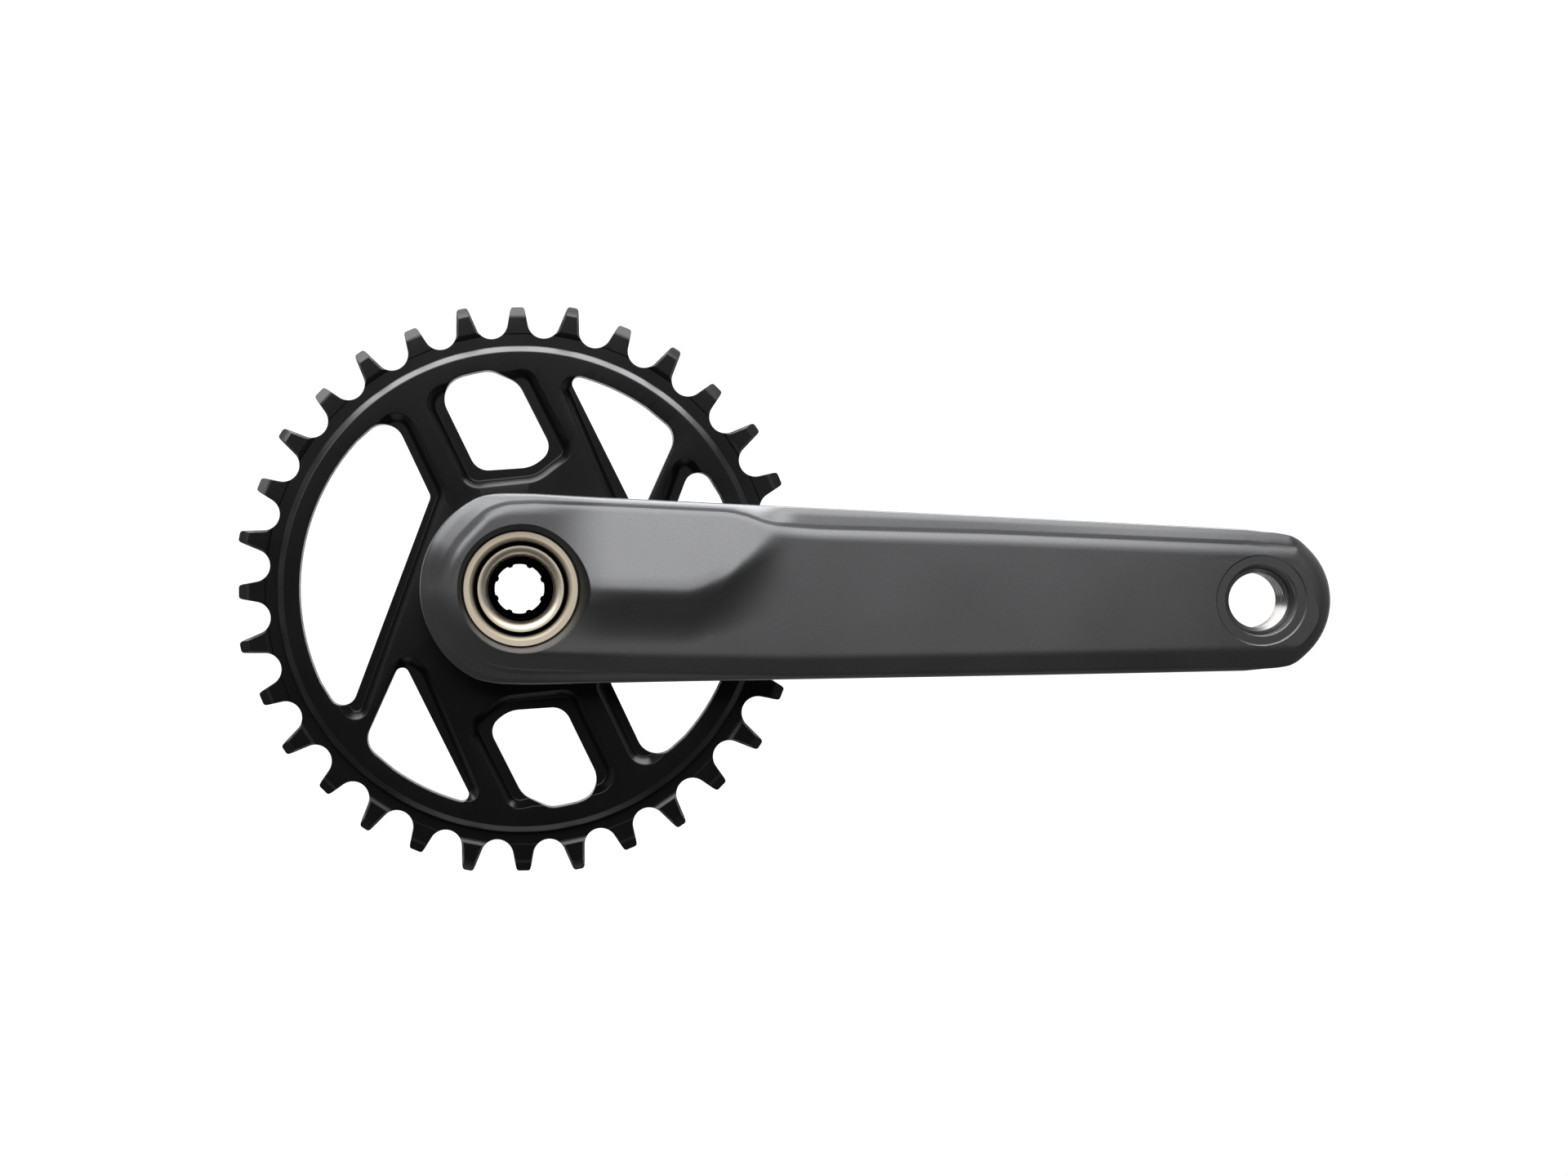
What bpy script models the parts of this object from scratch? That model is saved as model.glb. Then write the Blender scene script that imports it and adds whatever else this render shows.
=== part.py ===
"""Mountain-bike crankset with a hollow axle, one direct-mount chainring and a threaded bottom bracket.

Sizes are in millimetres and scaled to metres when a mesh is made. The axle lies on the Y axis with the
drive side at -Y, both arms point along +X, and the origin is the middle of the bottom-bracket shell.
"Out" is the distance from the middle of the bike, so a right-hand point has y = -out.
"""

from math import cos, pi, radians, sin, sqrt, tan

import bmesh
import bpy
from mathutils import Matrix, Vector

MM = 0.001
GAP = 0.3
ROUND_STEPS, HIDDEN_STEPS, BOLT_STEPS = 24, 20, 12
RIGHT = -1
LEFT = 1

# Crank layout
CRANK_LENGTH = 170.0
PEDAL_FACE = 89.0
PEDAL_BOSS = 13.0
CHAIN_LINE = 55.0
SHELL_HALF = 36.5

# Right arm, from the axle outwards; a pair named RISE, RAMP or FADE is where it starts and ends along X
BOSS_RADIUS = 23.9
BOSS_FACE, BOSS_BACK = 74.0, 60.0
HALF_WIDTH, WIDTH_TAPER = 22.65, 0.0381
PEDAL_END_RADIUS = 16.7
FACE_RISE, BACK_RISE = (5.0, 165.0), (22.0, 167.0)
RIDGE_LEVEL, RIDGE_OUT = -1.85, 77.0
RIDGE_START, RIDGE_RAMP = 17.0, (4.0, 20.0)
RIDGE_BEND, RIDGE_CLIMB, RIDGE_EASE, RIDGE_RUN = 44.0, 1.282, 0.0233, 27.5
RIDGE_ROUND = 1.0
FACET_RISE, FACET_TILT, FACET_RUN_OUT, FACET_FADE = 0.10, 0.20, 0.6, (58.0, 66.0)
SLOPE_LENGTH, SLOPE_GROWTH = 11.0, 0.75
RECESS_FLOOR, RECESS_RADIUS, RECESS_FLARE, RECESS_WELL = 71.5, 13.86, 0.577, 3.5
SPOT_RADIUS, COUNTERBORE_RADIUS, THREAD_RADIUS = 10.2, 8.0, 6.5
COUNTERBORE_DEPTH = 3.7

# Stepped edge of both arms: widths across the edge and drops below the face
BACK_ROUND = 1.5
EDGE_DROP = 5.0
LIP, LIP_DROP = 0.7, 3.7
CREASE_DROP = 1.9
SHOULDER, SHOULDER_DROP, SHOULDER_END = 0.7, 0.8, 2.7
BOSS_BEVEL, BOSS_RAMP = 3.8, (-20.0, -2.0)
TOP_BEVEL, TOP_RAMP = (2.0, 4.1), (47.0, 62.0)
LOW_BEVEL, LOW_RAMP = (3.0, 4.4), (20.0, 70.0)
PEDAL_BEVEL, PEDAL_RAMP = 1.2, (120.0, 180.0)
RELIEF_LOSS, RELIEF_RAMP = 0.55, (150.0, 184.0)
POCKET_DEPTH, POCKET_WALL, POCKET_SLOPE = 4.0, 5.5, 2.0
POCKET_START, POCKET_END = (38.0, 43.0), (148.0, 143.0)

# Left arm
LEFT_BOSS_RADIUS, LEFT_HALF_WIDTH, LEFT_TAPER = 26.5, 20.3, 0.0243
LEFT_FACE, LEFT_BACK = 68.5, 48.3
LEFT_FACE_RISE, LEFT_BACK_RISE = (12.0, 152.0), (18.0, 158.0)
SLIT_WIDTH, SLIT_END = 4.0, -9.0
PINCH_X = -18.5
PINCH_OUT = (54.0, 63.0)
PINCH_SEAT, PINCH_END, PINCH_HEAD_HOLE, PINCH_HOLE = 11.0, 15.5, 4.8, 3.1
BOLT_HEAD, BOLT_HEAD_HEIGHT, BOLT_SHANK, BOLT_SOCKET = 4.5, 5.5, 2.8, 2.9
PEG_LENGTH = 7.5

# Axle and its cap
AXLE_RADIUS, AXLE_BORE = 12.0, 10.3
AXLE_END_RADIUS, AXLE_RIGHT, AXLE_LEFT = 13.55, 71.5, 66.1
COLLAR_DEPTH, COLLAR_BEVEL, COLLAR_BORE, COLLAR_WELL = 3.1, 1.0, 11.2, 2.4
MOUTH_CREST, MOUTH_BORE, MOUTH_SINK, MOUTH_DEPTH, MOUTH_RUN = 10.2, 7.75, 0.5, 2.8, 3.0
MOUTH_STEPS = 4
PEG_SLOT_OUT, PEG_SLOT_HALF = (55.6, 60.3), 1.7
CAP_HOLE, CAP_BUMP, CAP_SPLINES = 7.1, 0.55, 8
CAP_RADIUS, CAP_FLANGE, CAP_THREAD, CAP_LENGTH = 13.8, 1.7, 9.9, 9.5
CAP_SINK, CAP_SEAT, CAP_SEAT_DEPTH = 0.4, 14.2, 2.2

# Chainring
TEETH, PITCH = 32, 12.7
PITCH_RADIUS = PITCH / (2 * sin(pi / TEETH))
SEAT_RADIUS, SEAT_ANGLES = 3.94, (-75, -38, 0, 38, 75)
WIDE_TIP, NARROW_TIP = 68.2, 69.3
WIDE_HALF, NARROW_HALF, NARROW_FOOT = 1.75, 0.95, 1.2
WIDE_TOOTH_ANGLE = 91.5
# Rows of a tooth: drop below the tip, half width and share of the thickness
TOOTH_ROWS = ((1.3, 1.78, 1.0), (0.35, 1.5, 0.62), (0.0, 1.1, 0.45))
BAND_EDGE, DISC_STEP = 60.4, 58.5
DISC_FRONT, DISC_BACK, DISC_SLOPE = 59.2, CHAIN_LINE - WIDE_HALF, 0.5
LEDGE, POCKET_GROWTH, POCKET_SHRINK = 56.5, 1.4, 1.5
RIM, RIM_POCKET = 53.3, 53.55
SPLINE_ROOT, SPLINE_TIP, SPLINES = 20.0, 21.2, 8
STUB_END, STUB_THREAD = 50.9, 19.2
LOCK_RADIUS, LOCK_THICKNESS, LOCK_BEVEL, LOCK_BEVEL_DEPTH = 25.5, 1.9, 1.5, 0.7
LOCK_NOTCHES, LOCK_NOTCH, LOCK_NOTCH_CIRCLE = 16, 1.9, 26.3

# Bottom bracket
SPACER, SPACER_RADIUS = 2.5, 20.5
FLANGE = 10.5
CUP_RADIUS, CUP_CHAMFER, CUP_BORE, CUP_SLEEVE_BORE = 22.0, 2.0, 14.4, 15.9
CUP_NOTCHES, CUP_NOTCH, CUP_NOTCH_CIRCLE, CUP_NOTCH_START = 16, 2.0, 22.8, 3.5
BARREL_RADIUS, BARREL_LENGTH = 17.4, 14.0
BEARING_RADIUS, BEARING_WIDTH, BEARING_SINK = 18.5, 7.0, 0.4
RACE_BORE, RACE_INNER, RACE_OUTER, GROOVE_HALF = 13.1, 14.9, 16.4, 0.6
BALLS, BALL_RADIUS, BALL_CIRCLE = 12, 1.5, 15.65
BALL_SIDES, BALL_SECTIONS = 5, (-1.43, -0.75, 0.75, 1.43)
SEAL_INNER, SEAL_OUTER, SEAL_THICKNESS = 15.2, 16.1, 0.8
COVER_RADIUS, COVER_TUBE, COVER_FLANGE = 17.6, 12.8, 1.0
SLEEVE_OUTER, SLEEVE_INNER, SLEEVE_GROOVE = 15.3, 13.3, 14.0
SLEEVE_SEAT, SLEEVE_END, O_RING_SEAT = 8.0, 8.5, 11.0
GROOVE_WIDTH = 2.0
O_RING_CIRCLE, O_RING_RADIUS, O_RING_SIDES = 14.95, 0.65, 6

PAINT = (0.075, 0.077, 0.082)
BLACK = (0.012, 0.012, 0.013)
GOLD = (0.53, 0.47, 0.38)
STEEL = (0.55, 0.55, 0.56)


def smooth(t):
    """Ease from 0 to 1 as t runs from 0 to 1."""
    t = min(1.0, max(0.0, t))
    return t * t * (3 - 2 * t)


def mix(a, b, t):
    return a + (b - a) * t


def ramp(x, span):
    """Ease from 0 at the start of a span to 1 at its end."""
    return smooth((x - span[0]) / (span[1] - span[0]))


def soft_min(a, b, width):
    """The smaller of two values, rounded over where they cross."""
    h = max(0.0, width - abs(a - b)) / width
    return min(a, b) - h * h * width / 4


def material(name, colour, roughness, metallic):
    made = bpy.data.materials.new(name)
    made.use_nodes = True
    shader = made.node_tree.nodes["Principled BSDF"]
    shader.inputs["Base Color"].default_value = (*colour, 1)
    shader.inputs["Roughness"].default_value = roughness
    shader.inputs["Metallic"].default_value = metallic
    return made


def add_object(name, bm, finish=None, origin=(0, 0, 0)):
    """Close a bmesh built in millimetres into an object whose origin is the given point."""
    bmesh.ops.remove_doubles(bm, verts=bm.verts, dist=0.0005)
    bmesh.ops.translate(bm, verts=bm.verts, vec=-Vector(origin))
    bmesh.ops.scale(bm, verts=bm.verts, vec=(MM, MM, MM))
    bmesh.ops.recalc_face_normals(bm, faces=bm.faces)
    mesh = bpy.data.meshes.new(name)
    bm.to_mesh(mesh)
    bm.free()
    mesh.shade_smooth()
    mesh.set_sharp_from_angle(angle=radians(30))
    made = bpy.data.objects.new(name, mesh)
    made.location = Vector(origin) * MM
    bpy.context.scene.collection.objects.link(made)
    if finish:
        mesh.materials.append(material(name, *finish))
    else:
        made.hide_render = True
        made.display_type = "WIRE"
    return made


def boolean(target, tool, operation="DIFFERENCE"):
    modifier = target.modifiers.new(f"{operation.lower()} {tool.name}", "BOOLEAN")
    modifier.operation = operation
    modifier.solver = "EXACT"
    modifier.object = tool


def turned_mesh(profile, steps):
    """Spin a closed (radius, y) profile round the Y axis."""
    bm = bmesh.new()
    verts = [bm.verts.new((radius, y, 0)) for radius, y in profile]
    edges = [bm.edges.new((a, b)) for a, b in zip(verts, verts[1:] + verts[:1])]
    bmesh.ops.spin(bm, geom=verts + edges, cent=(0, 0, 0), axis=(0, 1, 0), dvec=(0, 0, 0),
                   angle=2 * pi, steps=steps, use_merge=True)
    bmesh.ops.remove_doubles(bm, verts=bm.verts, dist=0.0005)
    return bm


def turned(name, profile, finish=None, side=LEFT, steps=ROUND_STEPS):
    """A turned piece whose profile is given as (radius, out) on one side of the bike."""
    return add_object(name, turned_mesh([(r, side * out) for r, out in profile], steps), finish)


def prism_mesh(bm, lower, upper, y_lower, y_upper):
    """Loft between two (x, z) outlines with the same number of points at two places along Y."""
    first = [bm.verts.new((x, y_lower, z)) for x, z in lower]
    second = [bm.verts.new((x, y_upper, z)) for x, z in upper]
    bm.faces.new(first)
    bm.faces.new(second)
    for i in range(len(first)):
        j = (i + 1) % len(first)
        bm.faces.new((first[i], first[j], second[j], second[i]))


def prism(name, outline, y_lower, y_upper, finish=None):
    bm = bmesh.new()
    prism_mesh(bm, outline, outline, y_lower, y_upper)
    return add_object(name, bm, finish)


def circle(radius, count, x=0.0, z=0.0):
    turn = 2 * pi / count
    return [(x + radius * cos(turn * k), z + radius * sin(turn * k)) for k in range(count)]


def lobed(root, tip, count, grow=0.0):
    """A spline outline: square lobes with drawn-in corners between two radii."""
    turn = 2 * pi / count
    outline = []
    for k in range(count):
        for part, radius in ((-0.30, root), (-0.20, tip), (0.20, tip), (0.30, root)):
            angle = turn * (k + part)
            outline.append(((radius + grow) * cos(angle), (radius + grow) * sin(angle)))
    return outline


def rounded(corners, steps=3):
    """An outline through (x, z, radius) corners, with an arc in place of each corner that has a radius."""
    outline = []
    count = len(corners)
    for i, (x, z, radius) in enumerate(corners):
        here = Vector((x, z))
        before = (Vector(corners[i - 1][:2]) - here).normalized()
        after = (Vector(corners[(i + 1) % count][:2]) - here).normalized()
        half = before.angle(after) / 2
        if radius == 0:
            outline.append((x, z))
            continue
        centre = here + (before + after).normalized() * radius / sin(half)
        start = here + before * radius / tan(half) - centre
        end = here + after * radius / tan(half) - centre
        for k in range(steps + 1):
            point = centre + start.slerp(end, k / steps).normalized() * radius
            outline.append((point.x, point.y))
    return outline


def inset(outline, distance):
    """Move a counter-clockwise outline inwards by a distance."""
    moved = []
    for i, (x, z) in enumerate(outline):
        before = Vector((x, z)) - Vector(outline[i - 1])
        after = Vector(outline[(i + 1) % len(outline)]) - Vector((x, z))
        along = (before.normalized() + after.normalized()).normalized()
        slack = max(0.5, along.dot(after.normalized()))
        moved.append((x - along.y * distance / slack, z + along.x * distance / slack))
    return moved


class ArmForm:
    """The plan outline and the surfaces of one crank arm, as distances out from the bike."""

    def __init__(self, side, boss_radius, half_width, taper, stations):
        self.side = side
        self.stations = stations
        self.boss_radius = boss_radius
        self.half_width = half_width
        self.taper = taper

    def edge_from(self, angle, x, radius):
        """A point on the end round centred at x, cut off by the straight edges of the arm."""
        limit = (self.half_width - self.taper * x) / (sin(angle) + self.taper * cos(angle))
        reach = soft_min(radius, limit, 0.8) if sin(angle) > 0.5 else radius
        return x + reach * cos(angle), reach * sin(angle)

    def upper_outline(self):
        boss = [pi - radians(82) * k / 8 for k in range(9)]
        pedal = [radians(84) * (1 - k / 6) for k in range(7)]
        straight = [mix(4.0, 70.0, k / self.stations) for k in range(self.stations + 1)]
        straight += [82 + 14.5 * k for k in range(7)]
        points = [self.edge_from(angle, 0.0, self.boss_radius) for angle in boss]
        points += [(x, self.half_width - self.taper * x) for x in straight]
        points += [self.edge_from(angle, CRANK_LENGTH, PEDAL_END_RADIUS) for angle in pedal]
        points[0] = (-self.boss_radius, 0.0)
        points[-1] = (CRANK_LENGTH + PEDAL_END_RADIUS, 0.0)
        return points

    def crease(self, x, z):
        """How far in from the outline the bevel meets the rounded shoulder of the face."""
        straight = mix(*TOP_BEVEL, ramp(x, TOP_RAMP)) if z > 0 else mix(*LOW_BEVEL, ramp(x, LOW_RAMP))
        around = mix(BOSS_BEVEL, straight, ramp(x, BOSS_RAMP))
        return mix(around, PEDAL_BEVEL, ramp(x, PEDAL_RAMP))

    def relief(self, x):
        """The edge bevel grows shallow towards the pedal end."""
        return 1 - RELIEF_LOSS * ramp(x, RELIEF_RAMP)


class RightForm(ArmForm):
    def base(self, x):
        return mix(BOSS_FACE, PEDAL_FACE, ramp(x, FACE_RISE))

    def ridge(self, x):
        """Height of the spine's crest across the arm."""
        run = min(RIDGE_RUN, max(0.0, x - RIDGE_BEND))
        return RIDGE_LEVEL + RIDGE_CLIMB * run - RIDGE_EASE * run * run

    def levels(self, x, top, low):
        """Where points lie across the face: close together at the crest."""
        crest = min(mix(top, low, 0.12), max(mix(low, top, 0.12), self.ridge(x)))
        above = [mix(top, crest, t) for t in (0.5, 0.92)]
        below = [mix(crest, low, t) for t in (0.0, 0.07, 0.2, 0.4, 0.7)]
        return above + below

    def face(self, x, z):
        """A flat boss that grows a spine, which turns up across the arm and runs out at its top edge."""
        base = self.base(x)
        ridge = self.ridge(x)
        run_out = FACET_RUN_OUT * max(0.0, x - FACET_FADE[0])
        lean = RIDGE_OUT + FACET_RISE * (x - RIDGE_START)
        facet = lean - FACET_TILT * (z - RIDGE_LEVEL) + run_out
        height = max(0.0, lean - FACET_TILT * (ridge - RIDGE_LEVEL) - base)
        fall = min(1.0, (ridge - z) / (SLOPE_LENGTH + SLOPE_GROWTH * max(0.0, x - RIDGE_BEND)))
        slope = base + height * (1 - fall) ** 2
        spine = mix(soft_min(facet, slope, RIDGE_ROUND), base, ramp(x, FACET_FADE))
        return mix(BOSS_FACE, spine, ramp(x, RIDGE_RAMP))

    def back(self, x):
        return mix(BOSS_BACK, PEDAL_FACE - PEDAL_BOSS, ramp(x, BACK_RISE))


class LeftForm(ArmForm):
    def levels(self, x, top, low):
        return [mix(top, low, 0.5)]

    def face(self, x, z):
        return mix(LEFT_FACE, PEDAL_FACE, ramp(x, LEFT_FACE_RISE))

    def back(self, x):
        return mix(LEFT_BACK, PEDAL_FACE - PEDAL_BOSS, ramp(x, LEFT_BACK_RISE))


def arm_mesh(form):
    """Rings of points that follow the outline in over the edge bevel, closed by columns across the faces."""
    upper = form.upper_outline()
    last = len(upper) - 1
    outline = upper + [(x, -z) for x, z in reversed(upper[1:-1])]
    count = len(outline)
    bm = bmesh.new()

    def inwards(i, distance):
        (x0, z0), (x1, z1) = outline[i - 1], outline[(i + 1) % count]
        along = Vector((x1 - x0, z1 - z0)).normalized()
        return outline[i][0] + along.y * distance, outline[i][1] - along.x * distance

    def ring(distance_at, out_at):
        made = []
        for i, (x, z) in enumerate(outline):
            px, pz = inwards(i, distance_at(x, z))
            made.append(bm.verts.new((px, form.side * out_at(px, pz), pz)))
        return made

    def front_ring(distance_at, drop):
        return ring(distance_at, lambda x, z: form.face(x, z) - drop * form.relief(x))

    rings = [
        ring(lambda x, z: BACK_ROUND, lambda x, z: form.back(x)),
        ring(lambda x, z: 0.0, lambda x, z: form.back(x) + BACK_ROUND),
        front_ring(lambda x, z: 0.0, EDGE_DROP),
        front_ring(lambda x, z: LIP, LIP_DROP),
        front_ring(form.crease, CREASE_DROP),
        front_ring(lambda x, z: form.crease(x, z) + SHOULDER, SHOULDER_DROP),
        front_ring(lambda x, z: form.crease(x, z) + SHOULDER_END, 0.0),
    ]
    for first, second in zip(rings, rings[1:]):
        for i in range(count):
            j = (i + 1) % count
            bm.faces.new((first[i], first[j], second[j], second[i]))

    def columns(edge, levels, out_at):
        """Fill the inside of a ring with strips between its upper and lower halves."""
        made = []
        for i in range(last + 1):
            top = edge[i]
            if i in (0, last):
                made.append([top])
                continue
            low = edge[count - i]
            inner = []
            for level in levels(top.co.x, top.co.z, low.co.z):
                x = mix(low.co.x, top.co.x, (level - low.co.z) / (top.co.z - low.co.z))
                inner.append(bm.verts.new((x, form.side * out_at(x, level), level)))
            made.append([top, *inner, low])
        for first, second in zip(made, made[1:]):
            if len(first) == 1 or len(second) == 1:
                point, line = (first[0], second) if len(first) == 1 else (second[0], first)
                for a, b in zip(line, line[1:]):
                    bm.faces.new((point, a, b))
                continue
            for k in range(len(first) - 1):
                bm.faces.new((first[k], first[k + 1], second[k + 1], second[k]))

    def pocket(x, z):
        ends = ramp(x, POCKET_START) * ramp(x, POCKET_END)
        edge = form.half_width - form.taper * x - abs(z)
        return form.back(x) + POCKET_DEPTH * ends * smooth((edge - POCKET_WALL) / POCKET_SLOPE)

    def back_levels(x, top, low):
        return [mix(top, low, t) for t in (0.18, 0.3, 0.7, 0.82)]

    columns(rings[-1], form.levels, form.face)
    columns(rings[0], back_levels, pocket)
    return bm


def pedal_bore(name, side):
    """Cutter for the spot face, the counterbore and the threaded hole of one pedal."""
    back, front = PEDAL_FACE - PEDAL_BOSS - 3, PEDAL_FACE + 2
    shoulder = PEDAL_FACE - COUNTERBORE_DEPTH
    profile = [(0, front), (SPOT_RADIUS, front), (SPOT_RADIUS, PEDAL_FACE - GAP),
               (COUNTERBORE_RADIUS, PEDAL_FACE - GAP), (COUNTERBORE_RADIUS, shoulder),
               (THREAD_RADIUS, shoulder - 1), (THREAD_RADIUS, back), (0, back)]
    cutter = turned(name, profile, side=side)
    cutter.location.x = CRANK_LENGTH * MM
    return cutter


def right_arm():
    arm = add_object("right_crank_arm", arm_mesh(RightForm(RIGHT, BOSS_RADIUS, HALF_WIDTH, WIDTH_TAPER, 15)),
                     (PAINT, 0.42, 0.35))
    stub = prism("right_arm_spline", lobed(SPLINE_ROOT, SPLINE_TIP, SPLINES), -BOSS_BACK - 1, -DISC_BACK)
    thread = prism("right_arm_thread", circle(STUB_THREAD, ROUND_STEPS), -BOSS_BACK - 2, -STUB_END)
    flare = RECESS_RADIUS + RECESS_FLARE * 10
    bore = turned("right_arm_bore", [
        (0, RECESS_FLOOR + 10), (flare, RECESS_FLOOR + 10), (RECESS_RADIUS, RECESS_FLOOR),
        (RECESS_RADIUS, RECESS_FLOOR - RECESS_WELL), (AXLE_RADIUS + GAP, RECESS_FLOOR - RECESS_WELL),
        (AXLE_RADIUS + GAP, STUB_END - 5), (0, STUB_END - 5)], side=RIGHT)
    boolean(arm, stub, "UNION")
    boolean(arm, thread, "UNION")
    boolean(arm, bore)
    boolean(arm, pedal_bore("right_pedal_bore", RIGHT))
    return arm


def left_arm():
    """The left arm is split opposite its blade and pinched onto the axle."""
    arm = add_object("left_crank_arm",
                     arm_mesh(LeftForm(LEFT, LEFT_BOSS_RADIUS, LEFT_HALF_WIDTH, LEFT_TAPER, 6)),
                     (PAINT, 0.42, 0.35))
    seat = LEFT_FACE - CAP_SEAT_DEPTH
    bore = turned("left_arm_bore", [
        (0, LEFT_FACE + 3), (CAP_SEAT, LEFT_FACE + 3), (CAP_SEAT, seat), (AXLE_RADIUS + GAP, seat),
        (AXLE_RADIUS + GAP, LEFT_BACK - 3), (0, LEFT_BACK - 3)])
    half = SLIT_WIDTH / 2
    slit = prism("left_arm_slit", [(-LEFT_BOSS_RADIUS - 3, -half), (SLIT_END, -half), (SLIT_END, half),
                                   (-LEFT_BOSS_RADIUS - 3, half)], LEFT_BACK - 3, LEFT_FACE + 3)
    boolean(arm, bore)
    boolean(arm, slit)
    boolean(arm, pedal_bore("left_pedal_bore", LEFT))
    for k, out in enumerate(PINCH_OUT):
        up = 1 - 2 * k
        bm = turned_mesh([(0, LEFT_BOSS_RADIUS), (PINCH_HEAD_HOLE, LEFT_BOSS_RADIUS),
                          (PINCH_HEAD_HOLE, PINCH_SEAT), (PINCH_HOLE, PINCH_SEAT), (PINCH_HOLE, -PINCH_END),
                          (0, -PINCH_END)], BOLT_STEPS)
        bmesh.ops.rotate(bm, verts=bm.verts, matrix=Matrix.Rotation(up * pi / 2, 3, "X"))
        bmesh.ops.translate(bm, verts=bm.verts, vec=(PINCH_X, out, 0))
        boolean(arm, add_object(f"pinch_bore_{k + 1}", bm))
    return arm


def pinch_bolt(k):
    """One socket-head pinch bolt; the two enter from opposite sides of the slit."""
    up = 1 - 2 * k
    head = PINCH_SEAT + GAP
    top, floor, end = head + BOLT_HEAD_HEIGHT, head + BOLT_HEAD_HEIGHT / 2, GAP - PINCH_END
    bm = turned_mesh([(0, floor), (BOLT_SOCKET, floor + 0.3), (BOLT_SOCKET, top), (BOLT_HEAD - 0.4, top),
                      (BOLT_HEAD, top - 0.5), (BOLT_HEAD, head), (BOLT_SHANK, head), (BOLT_SHANK, end + 0.4),
                      (BOLT_SHANK - 0.6, end), (0, end)], BOLT_STEPS)
    bmesh.ops.rotate(bm, verts=bm.verts, matrix=Matrix.Rotation(up * pi / 2, 3, "X"))
    place = (PINCH_X, PINCH_OUT[k], 0)
    bmesh.ops.translate(bm, verts=bm.verts, vec=place)
    name = ("inner_pinch_bolt", "outer_pinch_bolt")[k]
    return add_object(name, bm, (STEEL, 0.35, 1.0), place)


def upright_mesh(outline, half):
    """A prism that runs along Z through an (x, y) outline."""
    bm = bmesh.new()
    prism_mesh(bm, outline, outline, -half, half)
    for vert in bm.verts:
        vert.co.y, vert.co.z = vert.co.z, vert.co.y
    return bm


def stopper_plate():
    """A catch in the slit that turns on the outer pinch bolt and drops a peg into the axle."""
    x, y = PINCH_X, PINCH_OUT[1]
    corners = [(-4.6, -2.0, 1.5), (-2.6, -5.4, 1.0), (PEG_LENGTH, -5.4, 0.5), (PEG_LENGTH, -3.4, 0.5),
               (4.0, -3.4, 0.4), (4.0, 2.6, 2.0), (0.0, 4.6, 1.5), (-4.6, 3.6, 1.5)]
    outline = rounded([(x + dx, y + dy, radius) for dx, dy, radius in corners], 2)
    plate = add_object("stopper_plate", upright_mesh(outline, SLIT_WIDTH / 2 - 0.5), (BLACK, 0.5, 0.0),
                       (x, y, 0))
    eye = upright_mesh(circle(PINCH_HOLE, BOLT_STEPS, x, y), SLIT_WIDTH)
    boolean(plate, add_object("stopper_plate_eye", eye))
    return plate


def axle():
    """A steel tube that shows in the middle of the right arm: a flat collar, a groove and a round mouth."""
    face = -AXLE_RIGHT
    crest = face + MOUTH_SINK
    angles = [pi / 2 * k / MOUTH_STEPS for k in range(MOUTH_STEPS + 1)]
    mouth = [(MOUTH_CREST - (MOUTH_CREST - MOUTH_BORE) * sin(angle), crest + MOUTH_DEPTH * (1 - cos(angle)))
             for angle in angles]
    made = turned("axle", [
        (AXLE_BORE, AXLE_LEFT), (AXLE_RADIUS - 0.6, AXLE_LEFT), (AXLE_RADIUS, AXLE_LEFT - 0.6),
        (AXLE_RADIUS, face + COLLAR_DEPTH), (AXLE_END_RADIUS, face + COLLAR_DEPTH),
        (AXLE_END_RADIUS, face + 0.2), (AXLE_END_RADIUS - 0.2, face), (COLLAR_BORE + COLLAR_BEVEL, face),
        (COLLAR_BORE, face + COLLAR_BEVEL), (COLLAR_BORE, face + COLLAR_WELL),
        (MOUTH_CREST, face + COLLAR_WELL), *mouth,
        (AXLE_BORE, crest + MOUTH_DEPTH + MOUTH_RUN)], (GOLD, 0.28, 1.0))
    (near, far), outside, inside = PEG_SLOT_OUT, -AXLE_RADIUS - 4, -AXLE_RADIUS + 4
    slot = [(outside, near), (inside, near), (inside, far), (outside, far)]
    boolean(made, add_object("axle_peg_slot", upright_mesh(slot, PEG_SLOT_HALF)))
    return made


def fixing_cap():
    """The flanged cap that draws the left arm on; its key hole shows through the hollow axle."""
    top = LEFT_FACE - CAP_SINK
    seat, end = top - CAP_FLANGE, top - CAP_LENGTH
    blind = CAP_HOLE - 2
    cap = turned("left_arm_fixing_cap", [
        (blind, top), (CAP_RADIUS - 0.5, top), (CAP_RADIUS, top - 0.5), (CAP_RADIUS, seat),
        (CAP_THREAD, seat), (CAP_THREAD, end + 0.5), (CAP_THREAD - 0.5, end), (blind, end)],
        (BLACK, 0.35, 0.0))
    hole = [(CAP_HOLE, 0.0), (CAP_HOLE, 0.3), (CAP_HOLE - CAP_BUMP, 0.4), (CAP_HOLE - CAP_BUMP, 0.6),
            (CAP_HOLE, 0.7)]
    outline = []
    for k in range(CAP_SPLINES):
        for radius, part in hole:
            angle = 2 * pi * (k + part) / CAP_SPLINES
            outline.append((radius * cos(angle), radius * sin(angle)))
    boolean(cap, prism("fixing_cap_key", outline, end - 3, top + 3))
    return cap


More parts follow.
